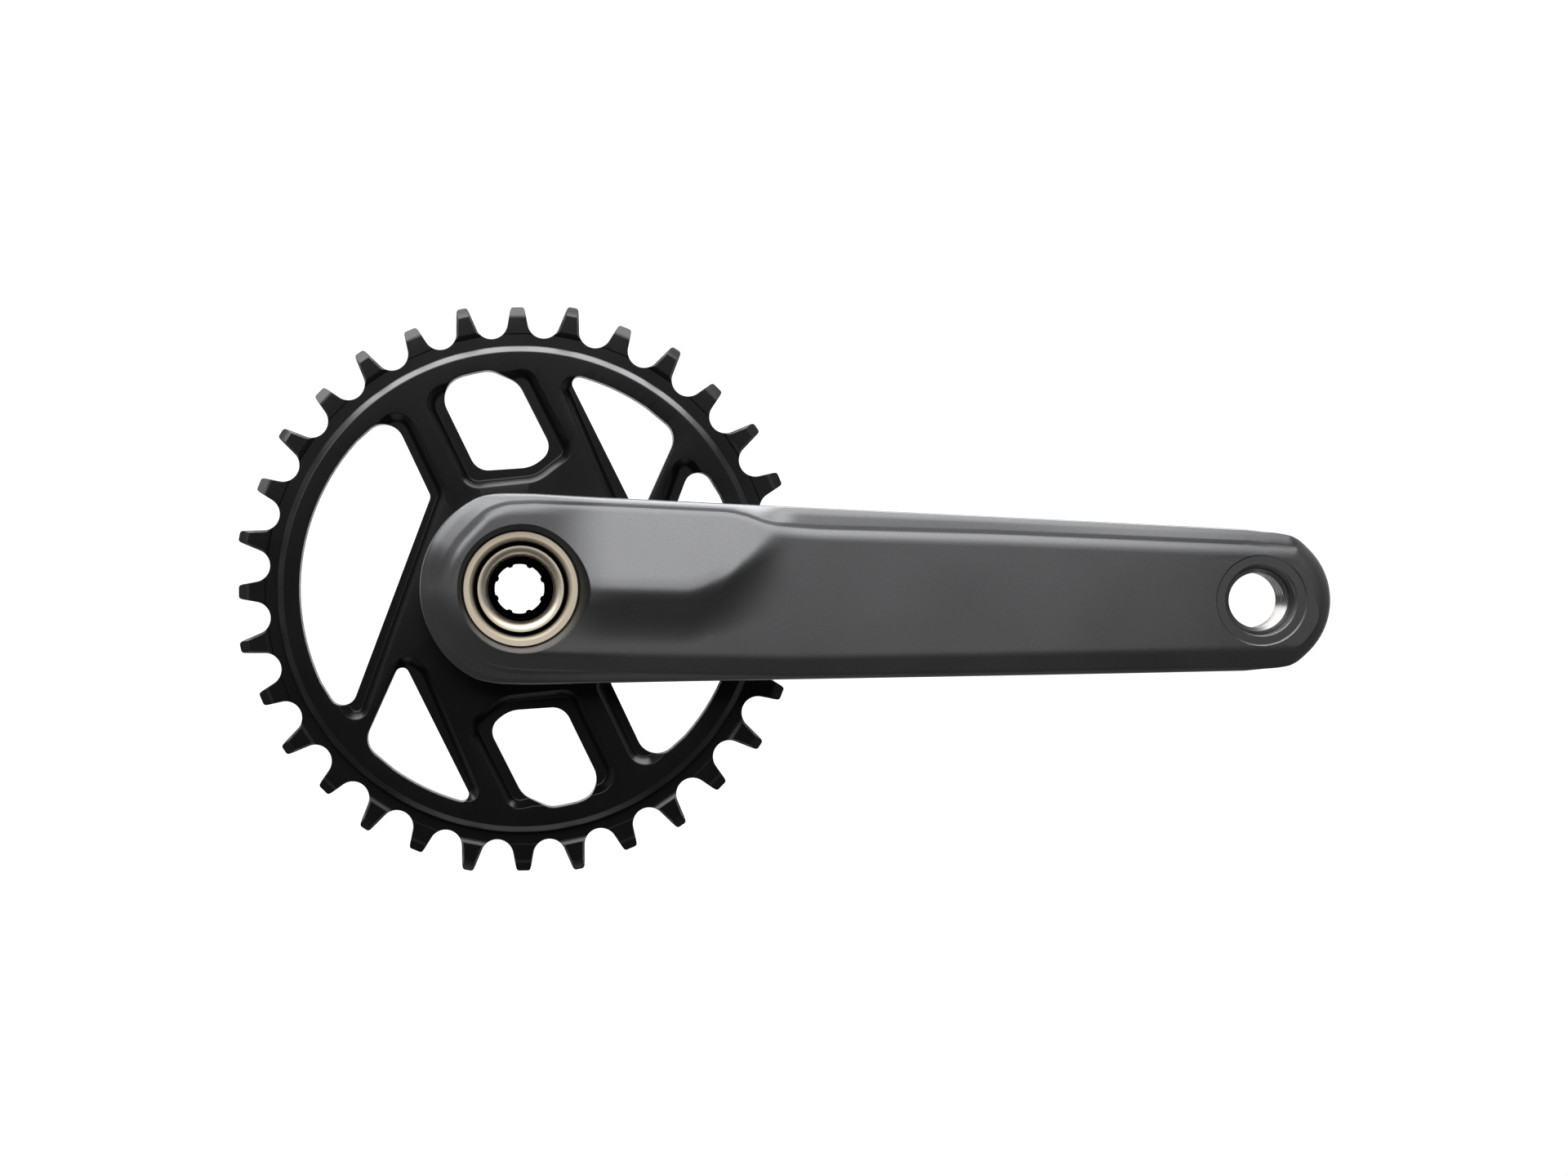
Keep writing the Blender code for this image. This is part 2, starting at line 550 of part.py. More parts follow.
def toothed_blank():
    """The blank of the ring: narrow and wide teeth round the pitch circle, and a raised disc inside them."""
    bm = bmesh.new()
    half_pitch = pi / TEETH

    def pair(radius, angle, half, across=0.0):
        x = radius * cos(angle) - across * sin(angle)
        z = radius * sin(angle) + across * cos(angle)
        return [bm.verts.new((x, -CHAIN_LINE + s * half, z)) for s in (-1, 1)]

    rim = []
    for k in range(TEETH):
        centre = radians(WIDE_TOOTH_ANGLE) + half_pitch * (2 * k + 1)
        for n, seat in enumerate(map(radians, SEAT_ANGLES)):
            # Even teeth are wide; the seat before a gap belongs to tooth k, the one after it to k + 1.
            tooth = k + (n > 2)
            thin = n in (0, 4) and tooth % 2 == 1
            half = NARROW_FOOT if thin else WIDE_HALF
            rim.append(pair(PITCH_RADIUS - SEAT_RADIUS * cos(seat), centre, half, SEAT_RADIUS * sin(seat)))
    count = len(rim)
    headings = [Vector((low.co.x, 0, low.co.z)).normalized() for low, _ in rim]

    def circle_ring(radius, out, every=1):
        return [bm.verts.new(heading * radius - Vector((0, out, 0))) for heading in headings[::every]]

    band_front = CHAIN_LINE + WIDE_HALF
    edges = [circle_ring(BAND_EDGE, out) for out in (band_front, CHAIN_LINE - WIDE_HALF)]
    step = circle_ring(DISC_STEP, band_front, 2)
    raised = circle_ring(DISC_STEP - DISC_SLOPE * (DISC_FRONT - band_front), DISC_FRONT, 2)
    bm.faces.new(raised)
    bm.faces.new(edges[1])
    for i in range(count):
        j = (i + 1) % count
        for s in (0, 1):
            bm.faces.new((edges[s][i], edges[s][j], rim[j][s], rim[i][s]))
        if i % 5 != 4:
            bm.faces.new((rim[i][0], rim[j][0], rim[j][1], rim[i][1]))
    for i in range(0, count, 2):
        near, far = i // 2, (i // 2 + 1) % len(step)
        bm.faces.new((step[near], edges[0][i], edges[0][i + 1]))
        bm.faces.new((step[near], edges[0][i + 1], step[far]))
        bm.faces.new((step[far], edges[0][i + 1], edges[0][(i + 2) % count]))
        bm.faces.new((step[near], step[far], raised[far], raised[near]))
    for k in range(TEETH):
        angle = radians(WIDE_TOOTH_ANGLE) + half_pitch * 2 * (k + 1)
        wide = (k + 1) % 2 == 0
        tip = WIDE_TIP if wide else NARROW_TIP
        half = WIDE_HALF if wide else NARROW_HALF
        rows = [(rim[5 * k + 4], rim[(5 * k + 5) % count])]
        for drop, width, part in TOOTH_ROWS:
            rows.append([pair(tip - drop, angle, half * part, across) for across in (-width, width)])
        for (a, b), (c, d) in zip(rows, rows[1:]):
            for s in (0, 1):
                bm.faces.new((a[s], b[s], d[s], c[s]))
            bm.faces.new((a[0], a[1], c[1], c[0]))
            bm.faces.new((b[0], b[1], d[1], d[0]))
        a, b = rows[-1]
        bm.faces.new((a[0], b[0], b[1], a[1]))
    return bm


def rim_arc(start, end, radius, count=7):
    """Corners without rounding along the inside of the rim, by angle in degrees."""
    angles = [radians(mix(start, end, k / (count - 1))) for k in range(count)]
    return [(radius * cos(a), radius * sin(a), 0) for a in angles]


def window_outlines():
    """The three window shapes of one half: each as a through hole and the wider pocket in front of it."""
    tall_hole = [(-32.1, 42.5, 5.0), *rim_arc(139, 206, RIM), (-41.7, -33.0, 3.4), (-22.0, 22.0, 2.0)]
    tall_pocket = [(-29.6, 45.0, 4.5), *rim_arc(136, 209, RIM_POCKET), (-38.3, -35.2, 3.0),
                   (-18.4, 23.0, 4.5)]
    key_hole = [(7.3, 33.6, 3.0), (-1.3, 49.9, 2.6), (-8.2, 52.7, 2.0), *rim_arc(100.5, 106, RIM, 3),
                (-21.2, 48.6, 5.5), (-10.9, 28.3, 3.5), (2.3, 29.4, 3.0)]
    key_pocket = [(12.2, 32.8, 3.0), (1.4, 53.2, 2.6), *rim_arc(94, 108, RIM_POCKET, 4), (-25.0, 47.3, 4.0),
                  (-13.2, 24.0, 3.5), (3.8, 26.0, 3.0)]
    long_hole = [(37.4, 38.1, 5.0), *rim_arc(56, 74, RIM, 5), (10.2, 52.3, 1.7), (28.4, 17.2, 1.7)]
    long_pocket = [(37.7, 38.3, 5.0), *rim_arc(56, 76, RIM_POCKET, 5), (7.2, 53.0, 2.4), (22.4, 19.6, 3.0),
                   (28.0, 15.6, 2.4)]
    return ((tall_hole, tall_pocket), (key_hole, key_pocket), (long_hole, long_pocket))


def chainring():
    """A direct-mount ring with a splined hub and six stepped windows."""
    ring = add_object("chainring", toothed_blank(), (BLACK, 0.4, 0.3))
    boolean(ring, prism("chainring_spline", lobed(SPLINE_ROOT, SPLINE_TIP, SPLINES, GAP),
                        -DISC_FRONT - 3, -DISC_BACK + 3))
    for half in (0, 1):
        turn = Matrix.Rotation(pi * half, 3, "Y")
        for n, (hole, pocket) in enumerate(window_outlines()):
            for part, corners in (("hole", hole), ("pocket", pocket)):
                outline = rounded(corners)
                bm = bmesh.new()
                if part == "hole":
                    prism_mesh(bm, outline, outline, -DISC_FRONT - 2, -DISC_BACK + 3)
                else:
                    prism_mesh(bm, inset(outline, -POCKET_GROWTH), inset(outline, POCKET_SHRINK),
                               -DISC_FRONT - 2.6, -LEDGE)
                bmesh.ops.rotate(bm, verts=bm.verts, matrix=turn)
                boolean(ring, add_object(f"chainring_{part}_{half}{n}", bm))
    return ring


def notches(name, count, radius, notch, start, end, side):
    """Round notches for a spanner, cut into the outside of a ring."""
    bm = bmesh.new()
    for k in range(count):
        angle = 2 * pi * k / count
        prism_mesh(bm, *[circle(notch, 6, radius * cos(angle), radius * sin(angle))] * 2,
                   side * start, side * end)
    return add_object(name, bm)


def lock_ring():
    front = DISC_BACK - GAP
    back = front - LOCK_THICKNESS
    ring = turned("chainring_lock_ring", [
        (STUB_THREAD + GAP, front), (LOCK_RADIUS, front), (LOCK_RADIUS, back + LOCK_BEVEL_DEPTH),
        (LOCK_RADIUS - LOCK_BEVEL, back), (STUB_THREAD + GAP, back)], (BLACK, 0.35, 0.8), RIGHT)
    boolean(ring, notches("lock_ring_notches", LOCK_NOTCHES, LOCK_NOTCH_CIRCLE, LOCK_NOTCH,
                          front + 2, back - 2, RIGHT))
    return ring


def bearing_side(word, side, shell):
    """The cup, bearing and covers of one side, listed from the shell face outwards."""
    outer = shell + FLANGE
    near = outer - BEARING_WIDTH - BEARING_SINK
    far, middle = near + BEARING_WIDTH, near + BEARING_WIDTH / 2
    cup = turned(f"{word}_cup", [
        (BARREL_RADIUS, shell - BARREL_LENGTH), (BARREL_RADIUS, shell), (CUP_RADIUS, shell),
        (CUP_RADIUS, outer - CUP_CHAMFER), (CUP_RADIUS - CUP_CHAMFER, outer), (BEARING_RADIUS + GAP, outer),
        (BEARING_RADIUS + GAP, near - GAP), (CUP_BORE, near - GAP), (CUP_BORE, shell - SLEEVE_SEAT),
        (CUP_SLEEVE_BORE, shell - SLEEVE_SEAT), (CUP_SLEEVE_BORE, shell - BARREL_LENGTH)],
        (BLACK, 0.35, 0.8), side)
    boolean(cup, notches(f"{word}_cup_notches", CUP_NOTCHES, CUP_NOTCH_CIRCLE, CUP_NOTCH,
                         shell + CUP_NOTCH_START, outer + 2, side))
    groove = BALL_RADIUS + GAP
    shoulder = sqrt(groove ** 2 - (BALL_CIRCLE - RACE_INNER) ** 2)
    deep, high = BALL_CIRCLE - groove, BALL_CIRCLE + groove
    turned(f"{word}_bearing_inner_race", [
        (RACE_BORE, far), (RACE_INNER, far), (RACE_INNER, middle + shoulder), (deep, middle + GROOVE_HALF),
        (deep, middle - GROOVE_HALF), (RACE_INNER, middle - shoulder), (RACE_INNER, near),
        (RACE_BORE, near)], (STEEL, 0.25, 1.0), side, HIDDEN_STEPS)
    turned(f"{word}_bearing_outer_race", [
        (BEARING_RADIUS, far), (BEARING_RADIUS, near), (RACE_OUTER, near), (RACE_OUTER, middle - shoulder),
        (high, middle - GROOVE_HALF), (high, middle + GROOVE_HALF), (RACE_OUTER, middle + shoulder),
        (RACE_OUTER, far)], (STEEL, 0.25, 1.0), side, HIDDEN_STEPS)
    turned(f"{word}_bearing_seal", [
        (SEAL_OUTER, far), (SEAL_OUTER, far - SEAL_THICKNESS), (SEAL_INNER, far - SEAL_THICKNESS),
        (SEAL_INNER, far)], (BLACK, 0.6, 0.0), side, HIDDEN_STEPS)
    rim = outer + COVER_FLANGE
    turned(f"{word}_bearing_cover", [
        (AXLE_RADIUS + GAP, rim), (COVER_RADIUS, rim), (COVER_RADIUS, outer + GAP),
        (COVER_TUBE, outer + GAP), (COVER_TUBE, near), (AXLE_RADIUS + GAP, near)],
        (BLACK, 0.5, 0.0), side, HIDDEN_STEPS)
    ball_set(f"{word}_ball_set", side * middle)
    section = circle(O_RING_RADIUS, O_RING_SIDES, O_RING_CIRCLE, shell - O_RING_SEAT)
    turned(f"{word}_sleeve_o_ring", section, (BLACK, 0.7, 0.0), side, HIDDEN_STEPS)


def ball_set(name, y):
    """Balls held at equal spacing by a thin retainer: a ring whose section swells at each ball."""
    bm = bmesh.new()
    rings = []
    for ball in range(BALLS):
        for offset in BALL_SECTIONS:
            swell = sqrt(BALL_RADIUS ** 2 - offset ** 2)
            angle = 2 * pi * ball / BALLS + offset / BALL_CIRCLE
            ring = []
            for k in range(BALL_SIDES):
                around = 2 * pi * k / BALL_SIDES
                radius = BALL_CIRCLE + swell * cos(around)
                place = (radius * cos(angle), y + swell * sin(around), radius * sin(angle))
                ring.append(bm.verts.new(place))
            rings.append(ring)
    for i, first in enumerate(rings):
        second = rings[(i + 1) % len(rings)]
        for k in range(BALL_SIDES):
            j = (k + 1) % BALL_SIDES
            bm.faces.new((first[k], first[j], second[j], second[k]))
    return add_object(name, bm, (STEEL, 0.2, 1.0), (0, y, 0))


def sleeve(right_end, left_end):
    """The plastic tube between the cups, with a groove for the O-ring near each end."""
    profile = [(SLEEVE_INNER, right_end), (SLEEVE_OUTER, right_end)]
    inwards, half = O_RING_SEAT - SLEEVE_END, GROOVE_WIDTH / 2
    for middle in (right_end + inwards, left_end - inwards):
        profile += [(SLEEVE_OUTER, middle - half), (SLEEVE_GROOVE, middle - half),
                    (SLEEVE_GROOVE, middle + half), (SLEEVE_OUTER, middle + half)]
    profile += [(SLEEVE_OUTER, left_end), (SLEEVE_INNER, left_end)]
    return turned("inner_sleeve", profile, (BLACK, 0.6, 0.0), LEFT, HIDDEN_STEPS)


def bottom_bracket():
    right_shell = SHELL_HALF + SPACER + GAP
    turned("drive_side_spacer", [
        (BARREL_RADIUS + GAP, SHELL_HALF), (BARREL_RADIUS + GAP, SHELL_HALF + SPACER),
        (SPACER_RADIUS, SHELL_HALF + SPACER), (SPACER_RADIUS, SHELL_HALF)],
        (BLACK, 0.5, 0.0), RIGHT, HIDDEN_STEPS)
    bearing_side("right", RIGHT, right_shell)
    bearing_side("left", LEFT, SHELL_HALF)
    sleeve(SLEEVE_END - right_shell, SHELL_HALF - SLEEVE_END)


def clear_scene():
    for old in list(bpy.data.objects):
        bpy.data.objects.remove(old, do_unlink=True)


def group_on_axis():
    """Everything that turns with the axle hangs from one empty on the axle's axis."""
    turning = ("right_crank_arm", "left_crank_arm", "axle", "chainring", "chainring_lock_ring",
               "left_arm_fixing_cap", "inner_pinch_bolt", "outer_pinch_bolt", "stopper_plate",
               "right_bearing_inner_race", "left_bearing_inner_race", "right_bearing_cover",
               "left_bearing_cover")
    axis = bpy.data.objects.new("crank_axis", None)
    bpy.context.scene.collection.objects.link(axis)
    for name in turning:
        bpy.data.objects[name].parent = axis


def main():
    clear_scene()
    axle()
    right_arm()
    left_arm()
    fixing_cap()
    pinch_bolt(0)
    pinch_bolt(1)
    stopper_plate()
    chainring()
    lock_ring()
    bottom_bracket()
    group_on_axis()


main()
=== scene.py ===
"""A bicycle crankset dressed for a studio picture, laid out as an add-on and run as a script.

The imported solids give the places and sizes; each piece here is a finer skin over one or more of them.
Outlines and profiles are written in millimetres and turned into metres when a piece is finished.
The axle lies on the Y axis, the drive side is at -Y, and "out" is the distance from the bike's middle.
"""

from functools import cache
from math import cos, hypot, pi, radians, sin, tan

import bmesh
import bpy
from bpy.props import FloatProperty, FloatVectorProperty, IntProperty, PointerProperty
from mathutils import Matrix, Vector


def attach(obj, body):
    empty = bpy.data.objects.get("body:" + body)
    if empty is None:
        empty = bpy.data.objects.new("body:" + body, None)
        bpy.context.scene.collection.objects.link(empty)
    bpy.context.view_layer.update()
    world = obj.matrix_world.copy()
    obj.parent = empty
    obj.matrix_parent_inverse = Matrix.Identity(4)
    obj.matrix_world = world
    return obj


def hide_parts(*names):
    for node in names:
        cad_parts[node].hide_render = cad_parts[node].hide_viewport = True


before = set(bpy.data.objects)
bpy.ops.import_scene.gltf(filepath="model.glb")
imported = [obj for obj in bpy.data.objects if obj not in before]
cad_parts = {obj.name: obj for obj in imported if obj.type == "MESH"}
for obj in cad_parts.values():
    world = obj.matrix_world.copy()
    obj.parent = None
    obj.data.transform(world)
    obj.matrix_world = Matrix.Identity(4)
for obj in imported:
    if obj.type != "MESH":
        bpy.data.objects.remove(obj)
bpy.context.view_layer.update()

bl_info = {
    "name": "Bicycle crankset",
    "version": (1, 0, 0),
    "blender": (4, 5, 0),
    "location": "View3D > Sidebar > Crankset",
    "description": "Builds the finished skins of a one-ring crankset and the studio round it",
    "category": "Add Mesh",
}

MM = 0.001
RIGHT, LEFT = -1, 1
CUT, JOIN = "DIFFERENCE", "UNION"
ROUND = 128             # steps of a full turn
SHARP = radians(32)     # edges that bend more than this stay sharp
WELD = 0.0005           # points closer than this, in millimetres, become one
PAINT_SLOT = "arm_paint"
AXLE_FIT = 12.3         # radius of the bores that take the axle
# The conical wall round the axle's right end, and the painted shade on it: dark at the top and lighter
# towards the bottom, where light from above falls.
RECESS_RADIUS, RECESS_OUT, RECESS_SLOPE = 13.95, 71.6, 1.734
RECESS_PAINTED_SHADE_TOP, RECESS_PAINTED_SHADE_BOTTOM = (0.070, 0.080, 0.095), (0.30, 0.31, 0.33)
# The ring's step, tooth feet and tip bevels are painted this bright and metallic, as painted highlights.
RING_PAINTED_HIGHLIGHT = (0.108, 0.108, 0.112)
# The axle's groove is painted this dark, as painted shade.
AXLE_GROOVE_PAINTED_SHADE = (0.006, 0.005, 0.004)
# The pinch bolts' place on the left arm, and each one's name, distance out and direction of the head.
PINCH_X = -18.5
PINCH_BOLTS = (("inner_pinch_bolt", 54.0, 1), ("outer_pinch_bolt", 63.0, -1))
# The ring: inside of the rim, then the disc's front, the floor of its pockets and its back as distances out.
RIM = 53.3
DISC_FRONT, LEDGE, DISC_BACK = 59.2, 56.5, 53.25


def shade(name, colour, note):
    """A colour property for one finish."""
    return FloatVectorProperty(name=name, description=note, subtype="COLOR", size=3, min=0, max=1,
                               default=colour)


def share(name, value, note):
    """A property that runs from 0 to 1."""
    return FloatProperty(name=name, description=note, default=value, min=0, max=1, subtype="FACTOR")


def length(name, value, note):
    """A size in millimetres."""
    return FloatProperty(name=name, description=note + ", in millimetres", default=value)


class CRANKSET_PG_arms(bpy.types.PropertyGroup):
    crank_length: length("Crank length", 170.0, "Distance from the axle to the pedal hole")
    pedal_face: length("Pedal face", 89.0, "Distance of each pedal face from the middle of the bike")
    paint: shade("Paint", (0.217, 0.219, 0.225), "Satin grey of both arms")
    paint_roughness: share("Paint roughness", 0.40, "How far the paint spreads a highlight")
    paint_metal: share("Paint metal", 0.96, "How metallic the paint is")
    flake: share("Flake", 0.10, "Strength of the fine metallic flake in the paint")


class CRANKSET_PG_ring(bpy.types.PropertyGroup):
    teeth: IntProperty(name="Teeth", description="Number of teeth on the ring", default=32, min=20, max=60)
    pitch: length("Chain pitch", 12.7, "Distance between two rollers of the chain")
    chain_line: length("Chain line", 55.0, "Distance of the teeth from the middle of the bike")
    black: shade("Ring black", (0.004, 0.004, 0.0043), "Hard black of the ring")
    roughness: share("Ring roughness", 0.30, "How far the ring spreads a highlight")
    gloss: share("Ring gloss", 0.42, "How much light the ring's hard skin throws back")


class CRANKSET_PG_axle(bpy.types.PropertyGroup):
    gold: shade("Axle plating", (0.96, 0.875, 0.71), "Champagne plating of the axle")
    plastic: shade("Cap plastic", (0.012, 0.012, 0.013), "Black of the moulded pieces")
    thread: shade("Thread metal", (0.50, 0.49, 0.48), "Bare metal of the pedal threads")


class CRANKSET_PG_bracket(bpy.types.PropertyGroup):
    cup: shade("Cup black", (0.028, 0.028, 0.030), "Anodised black of the cups and the lock ring")
    steel: shade("Bearing steel", (0.55, 0.55, 0.56), "Ground steel of races and balls")
    zinc: shade("Bolt steel", (0.45, 0.45, 0.46), "Plated steel of the bolts")
    rubber: shade("Rubber", (0.012, 0.012, 0.012), "Rubber of seals and rings")


class CRANKSET_PG_studio(bpy.types.PropertyGroup):
    lens: FloatProperty(name="Lens", description="Focal length of the camera", default=60.66,
                        unit="CAMERA")
    distance: length("Camera distance", 695.0, "Distance of the camera from the middle of the bike")
    roll: FloatProperty(name="Camera roll", description="Turn of the camera about its line of sight",
                        default=radians(0.878), subtype="ANGLE")
    shift: FloatProperty(name="Camera shift", description="Sideways shift of the frame", default=0.172)
    softbox: FloatProperty(name="Softbox", description="Power of the large lamp above the camera",
                           default=13.7, unit="POWER")
    top_panel: FloatProperty(name="Top panel", description="Power of the lamp over the top edges",
                             default=22.0, unit="POWER")
    floor: shade("Floor", (0.85, 0.85, 0.85), "Pale floor of the studio")


GROUPS = {"arms": CRANKSET_PG_arms, "ring": CRANKSET_PG_ring, "axle": CRANKSET_PG_axle,
          "bracket": CRANKSET_PG_bracket, "studio": CRANKSET_PG_studio}


class Tint:
    """A socket of a shader that takes part in sums: each sign adds one Math node."""

    def __init__(self, finish, socket):
        self.finish = finish
        self.socket = socket

    def maths(self, operation, first, second):
        return self.finish.node("ShaderNodeMath", {"operation": operation}, {0: first, 1: second})

    def __add__(self, other):
        return self.maths("ADD", self, other)

    def __radd__(self, other):
        return self.maths("ADD", other, self)

    def __sub__(self, other):
        return self.maths("SUBTRACT", self, other)

    def __rsub__(self, other):
        return self.maths("SUBTRACT", other, self)

    def __mul__(self, other):
        return self.maths("MULTIPLY", self, other)

    def __rmul__(self, other):
        return self.maths("MULTIPLY", other, self)

    def __abs__(self):
        return self.maths("ABSOLUTE", self, 0.0)


class Finish:
    """A node tree in the making, for a material or the world."""

    def __init__(self, owner):
        owner.use_nodes = True
        self.owner = owner
        self.tree = owner.node_tree

    def node(self, kind, settings=None, sockets=None, output=0):
        """Add a node: its settings first, then the values or links of its sockets."""
        made = self.tree.nodes.new(kind)
        for key, value in (settings or {}).items():
            setattr(made, key, value)
        self.plug(made, sockets or {})
        return Tint(self, made.outputs[output])

    def plug(self, node, sockets):
        for key, value in sockets.items():
            if isinstance(value, Tint):
                self.tree.links.new(value.socket, node.inputs[key])
            else:
                node.inputs[key].default_value = value

    def place(self):
        """Object coordinates, which are the metres of the shared frame."""
        return self.node("ShaderNodeTexCoord", output=3)

    def grain(self, scale, detail=2.0, stretch=None):
        """Noise from 0 to 1 at a scale per metre, drawn out along an axis where stretch says so."""
        where = self.place()
        if stretch:
            where = self.node("ShaderNodeVectorMath", {"operation": "MULTIPLY"}, {0: where, 1: stretch})
        return self.node("ShaderNodeTexNoise", None, {"Vector": where, "Scale": scale, "Detail": detail})

    def radius(self):
        """Distance from the line of the axle."""
        flat = self.node("ShaderNodeVectorMath", {"operation": "MULTIPLY"}, {0: self.place(), 1: (1, 0, 1)})
        return self.node("ShaderNodeVectorMath", {"operation": "LENGTH"}, {0: flat}, 1)

    def spin_lines(self, scale):
        """Noise that changes only with the distance from the axle, as fine turning marks do."""
        return self.node("ShaderNodeTexNoise", {"noise_dimensions": "1D"},
                         {"W": self.radius(), "Scale": scale})

    def against(self, axis):
        """The coordinate along an axis, counted the other way."""
        return self.node("ShaderNodeSeparateXYZ", None, {0: self.place()}, axis) * -1

    def run(self, value, start, end, low, high):
        """Run evenly from low to high as a value goes from start to end."""
        return self.node("ShaderNodeMapRange", None, {0: value, 1: start, 2: end, 3: low, 4: high})

    def rise(self, value, low, high):
        """Run from 0 to 1 as a length in metres goes from low to high, both given in millimetres."""
        return self.node("ShaderNodeMapRange", {"interpolation_type": "SMOOTHSTEP"},
                         {0: value, 1: low * MM, 2: high * MM})

    def band(self, value, start, full, fade, end):
        """Rise from 0 to 1 between start and full, and fall back between fade and end."""
        return self.rise(value, start, full) - self.rise(value, fade, end)

    def blend(self, factor, first, second):
        """One colour fading into another; each is a colour or a socket."""
        first, second = (end if isinstance(end, Tint) else (*end, 1) for end in (first, second))
        return self.node("ShaderNodeMix", {"data_type": "RGBA"}, {0: factor, 6: first, 7: second}, 2)

    def bump(self, height, depth, strength):
        return self.node("ShaderNodeBump", None, {"Height": height, "Distance": depth, "Strength": strength})

    def surface(self, **sockets):
        """Set the sockets of the Principled shader; an underscore stands for a space."""
        shader = self.tree.nodes["Principled BSDF"]
        self.plug(shader, {key.replace("_", " "): value for key, value in sockets.items()})
        return self.owner


def new_finish(name):
    return Finish(bpy.data.materials.new(name))


def dimmed(colour, share_left):
    return tuple(channel * share_left for channel in colour)


def settings():
    return bpy.context.scene.crankset


@cache
def satin_paint():
    """Grey paint with a fine metallic flake under a satin coat, and painted shade on the conical wall round
    the axle.
    """
    arms = settings().arms
    paint = new_finish("satin_paint")
    flake = paint.grain(scale=2600, detail=1.0)
    cloud = paint.grain(scale=45)
    tone = flake * (2 * arms.flake) + cloud * 0.06 + (0.47 - arms.flake)
    colour = paint.blend(tone, dimmed(arms.paint, 0.5), dimmed(arms.paint, 1.5))
    out, low = paint.against(1), paint.against(2)
    # Painted shade on the conical wall round the axle: dark at its top, lighter towards its bottom, where
    # light from above falls.
    wall = paint.blend(paint.rise(low, 2, 13), RECESS_PAINTED_SHADE_TOP, RECESS_PAINTED_SHADE_BOTTOM)
    above = out - (paint.radius() - RECESS_RADIUS * MM) * RECESS_SLOPE - RECESS_OUT * MM
    off_painted_shade = paint.rise(abs(above), 0.1, 0.3)
    return paint.surface(
        Base_Color=paint.blend(off_painted_shade, wall, colour),
        Roughness=arms.paint_roughness - 0.04 + cloud * 0.08,
        Metallic=arms.paint_metal,
        Normal=paint.bump(paint.grain(scale=1500), depth=0.000012, strength=0.6))


@cache
def ring_black():
    """Hard-anodised black with the faint tooth of a blasted surface, with painted highlights on its bevels
    and tooth feet.
    """
    ring = settings().ring
    black = new_finish("ring_black")
    tooth = black.grain(scale=3200)
    cloud = black.grain(scale=60)
    # Painted highlights: the disc's bevel, the feet of the wide teeth and the tip bevels, by radius and by
    # distance out, get a brighter, metallic colour.
    far, out = black.radius(), black.against(1)
    step = black.band(far, 57.0, 57.25, 58.35, 58.6)
    foot = black.band(far, 61.5, 61.6, 62.8, 62.9) * black.band(out, 56.16, 56.24, 56.6, 56.72)
    tips = black.rise(far, 65.3, 66.5) * (1 - black.rise(out, 56.64, 56.73))
    painted_highlight = step + foot + tips
    colour = black.blend(tooth, dimmed(ring.black, 0.7), dimmed(ring.black, 1.3))
    return black.surface(
        Base_Color=black.blend(painted_highlight, colour, RING_PAINTED_HIGHLIGHT),
        Roughness=ring.roughness - 0.05 + cloud * 0.1,
        Metallic=painted_highlight,
        Specular_IOR_Level=ring.gloss,
        Normal=black.bump(tooth, depth=0.00001, strength=0.5))


@cache
def champagne_plating():
    """Turned steel under a warm plating, with fine marks round the axle and a granular lustre, and painted
    shade darkening its end groove and the bevel beside it.
    """
    axle = settings().axle
    gold = new_finish("champagne_plating")
    marks = gold.spin_lines(scale=5200)
    speck = gold.grain(scale=4200)
    colour = gold.blend(speck * 0.6 + marks * 0.4, dimmed(axle.gold, 0.92), dimmed(axle.gold, 1.04))
    far = gold.radius()
    # Painted shade: the groove at the axle's end and the bevel outside it are darkened.
    groove = gold.band(far, 10.05, 10.35, 11.05, 12.0)
    blasted = gold.rise(far, 9.4, 10.4)
    return gold.surface(
        Base_Color=gold.blend(groove, colour, AXLE_GROOVE_PAINTED_SHADE),
        Roughness=0.36 + speck * 0.1 + blasted * 0.3,
        Metallic=1.0,
        Normal=gold.bump(marks * 0.6 + speck * 0.4, depth=0.000015, strength=0.6))


def patterned(name, colour, draw, tones, roughness, metal=0.0, relief=None):
    """A finish whose tone, roughness and relief all follow one pattern.

    Tones are the shares of the colour at the pattern's two ends, roughness its start and its span, and relief
    the depth and strength of the bump.
    """
    finish = new_finish(name)
    pattern = draw(finish)
    start, span = roughness
    sockets = {"Base_Color": finish.blend(pattern, *(dimmed(colour, tone) for tone in tones)),
               "Roughness": start + pattern * span,
               "Metallic": metal}
    if relief:
        sockets["Normal"] = finish.bump(pattern, *relief)
    return finish.surface(**sockets)


@cache
def moulded_black():
    """Glass-filled black plastic from a spark-eroded mould."""
    return patterned("moulded_black", settings().axle.plastic, lambda skin: skin.grain(2200, 3.0),
                     tones=(0.7, 1.5), roughness=(0.30, 0.12), relief=(0.00002, 0.5))


@cache
def bare_thread():
    """Freshly cut metal in the pedal threads."""
    return patterned("bare_thread", settings().axle.thread,
                     lambda cut: cut.grain(900, 3.0, stretch=(0.2, 6.0, 0.2)),
                     tones=(0.8, 1.1), roughness=(0.16, 0.14), metal=1.0, relief=(0.00001, 0.5))


@cache
def cup_black():
    """Anodised aluminium that still shows the marks of the lathe."""
    return patterned("cup_black", settings().bracket.cup, lambda cup: cup.spin_lines(3600),
                     tones=(0.7, 1.4), roughness=(0.28, 0.12), metal=0.7, relief=(0.000012, 0.5))


@cache
def ground_steel():
    """Ground bearing steel."""
    return patterned("ground_steel", settings().bracket.steel, lambda steel: steel.spin_lines(6000),
                     tones=(0.85, 1.15), roughness=(0.12, 0.14), metal=1.0)


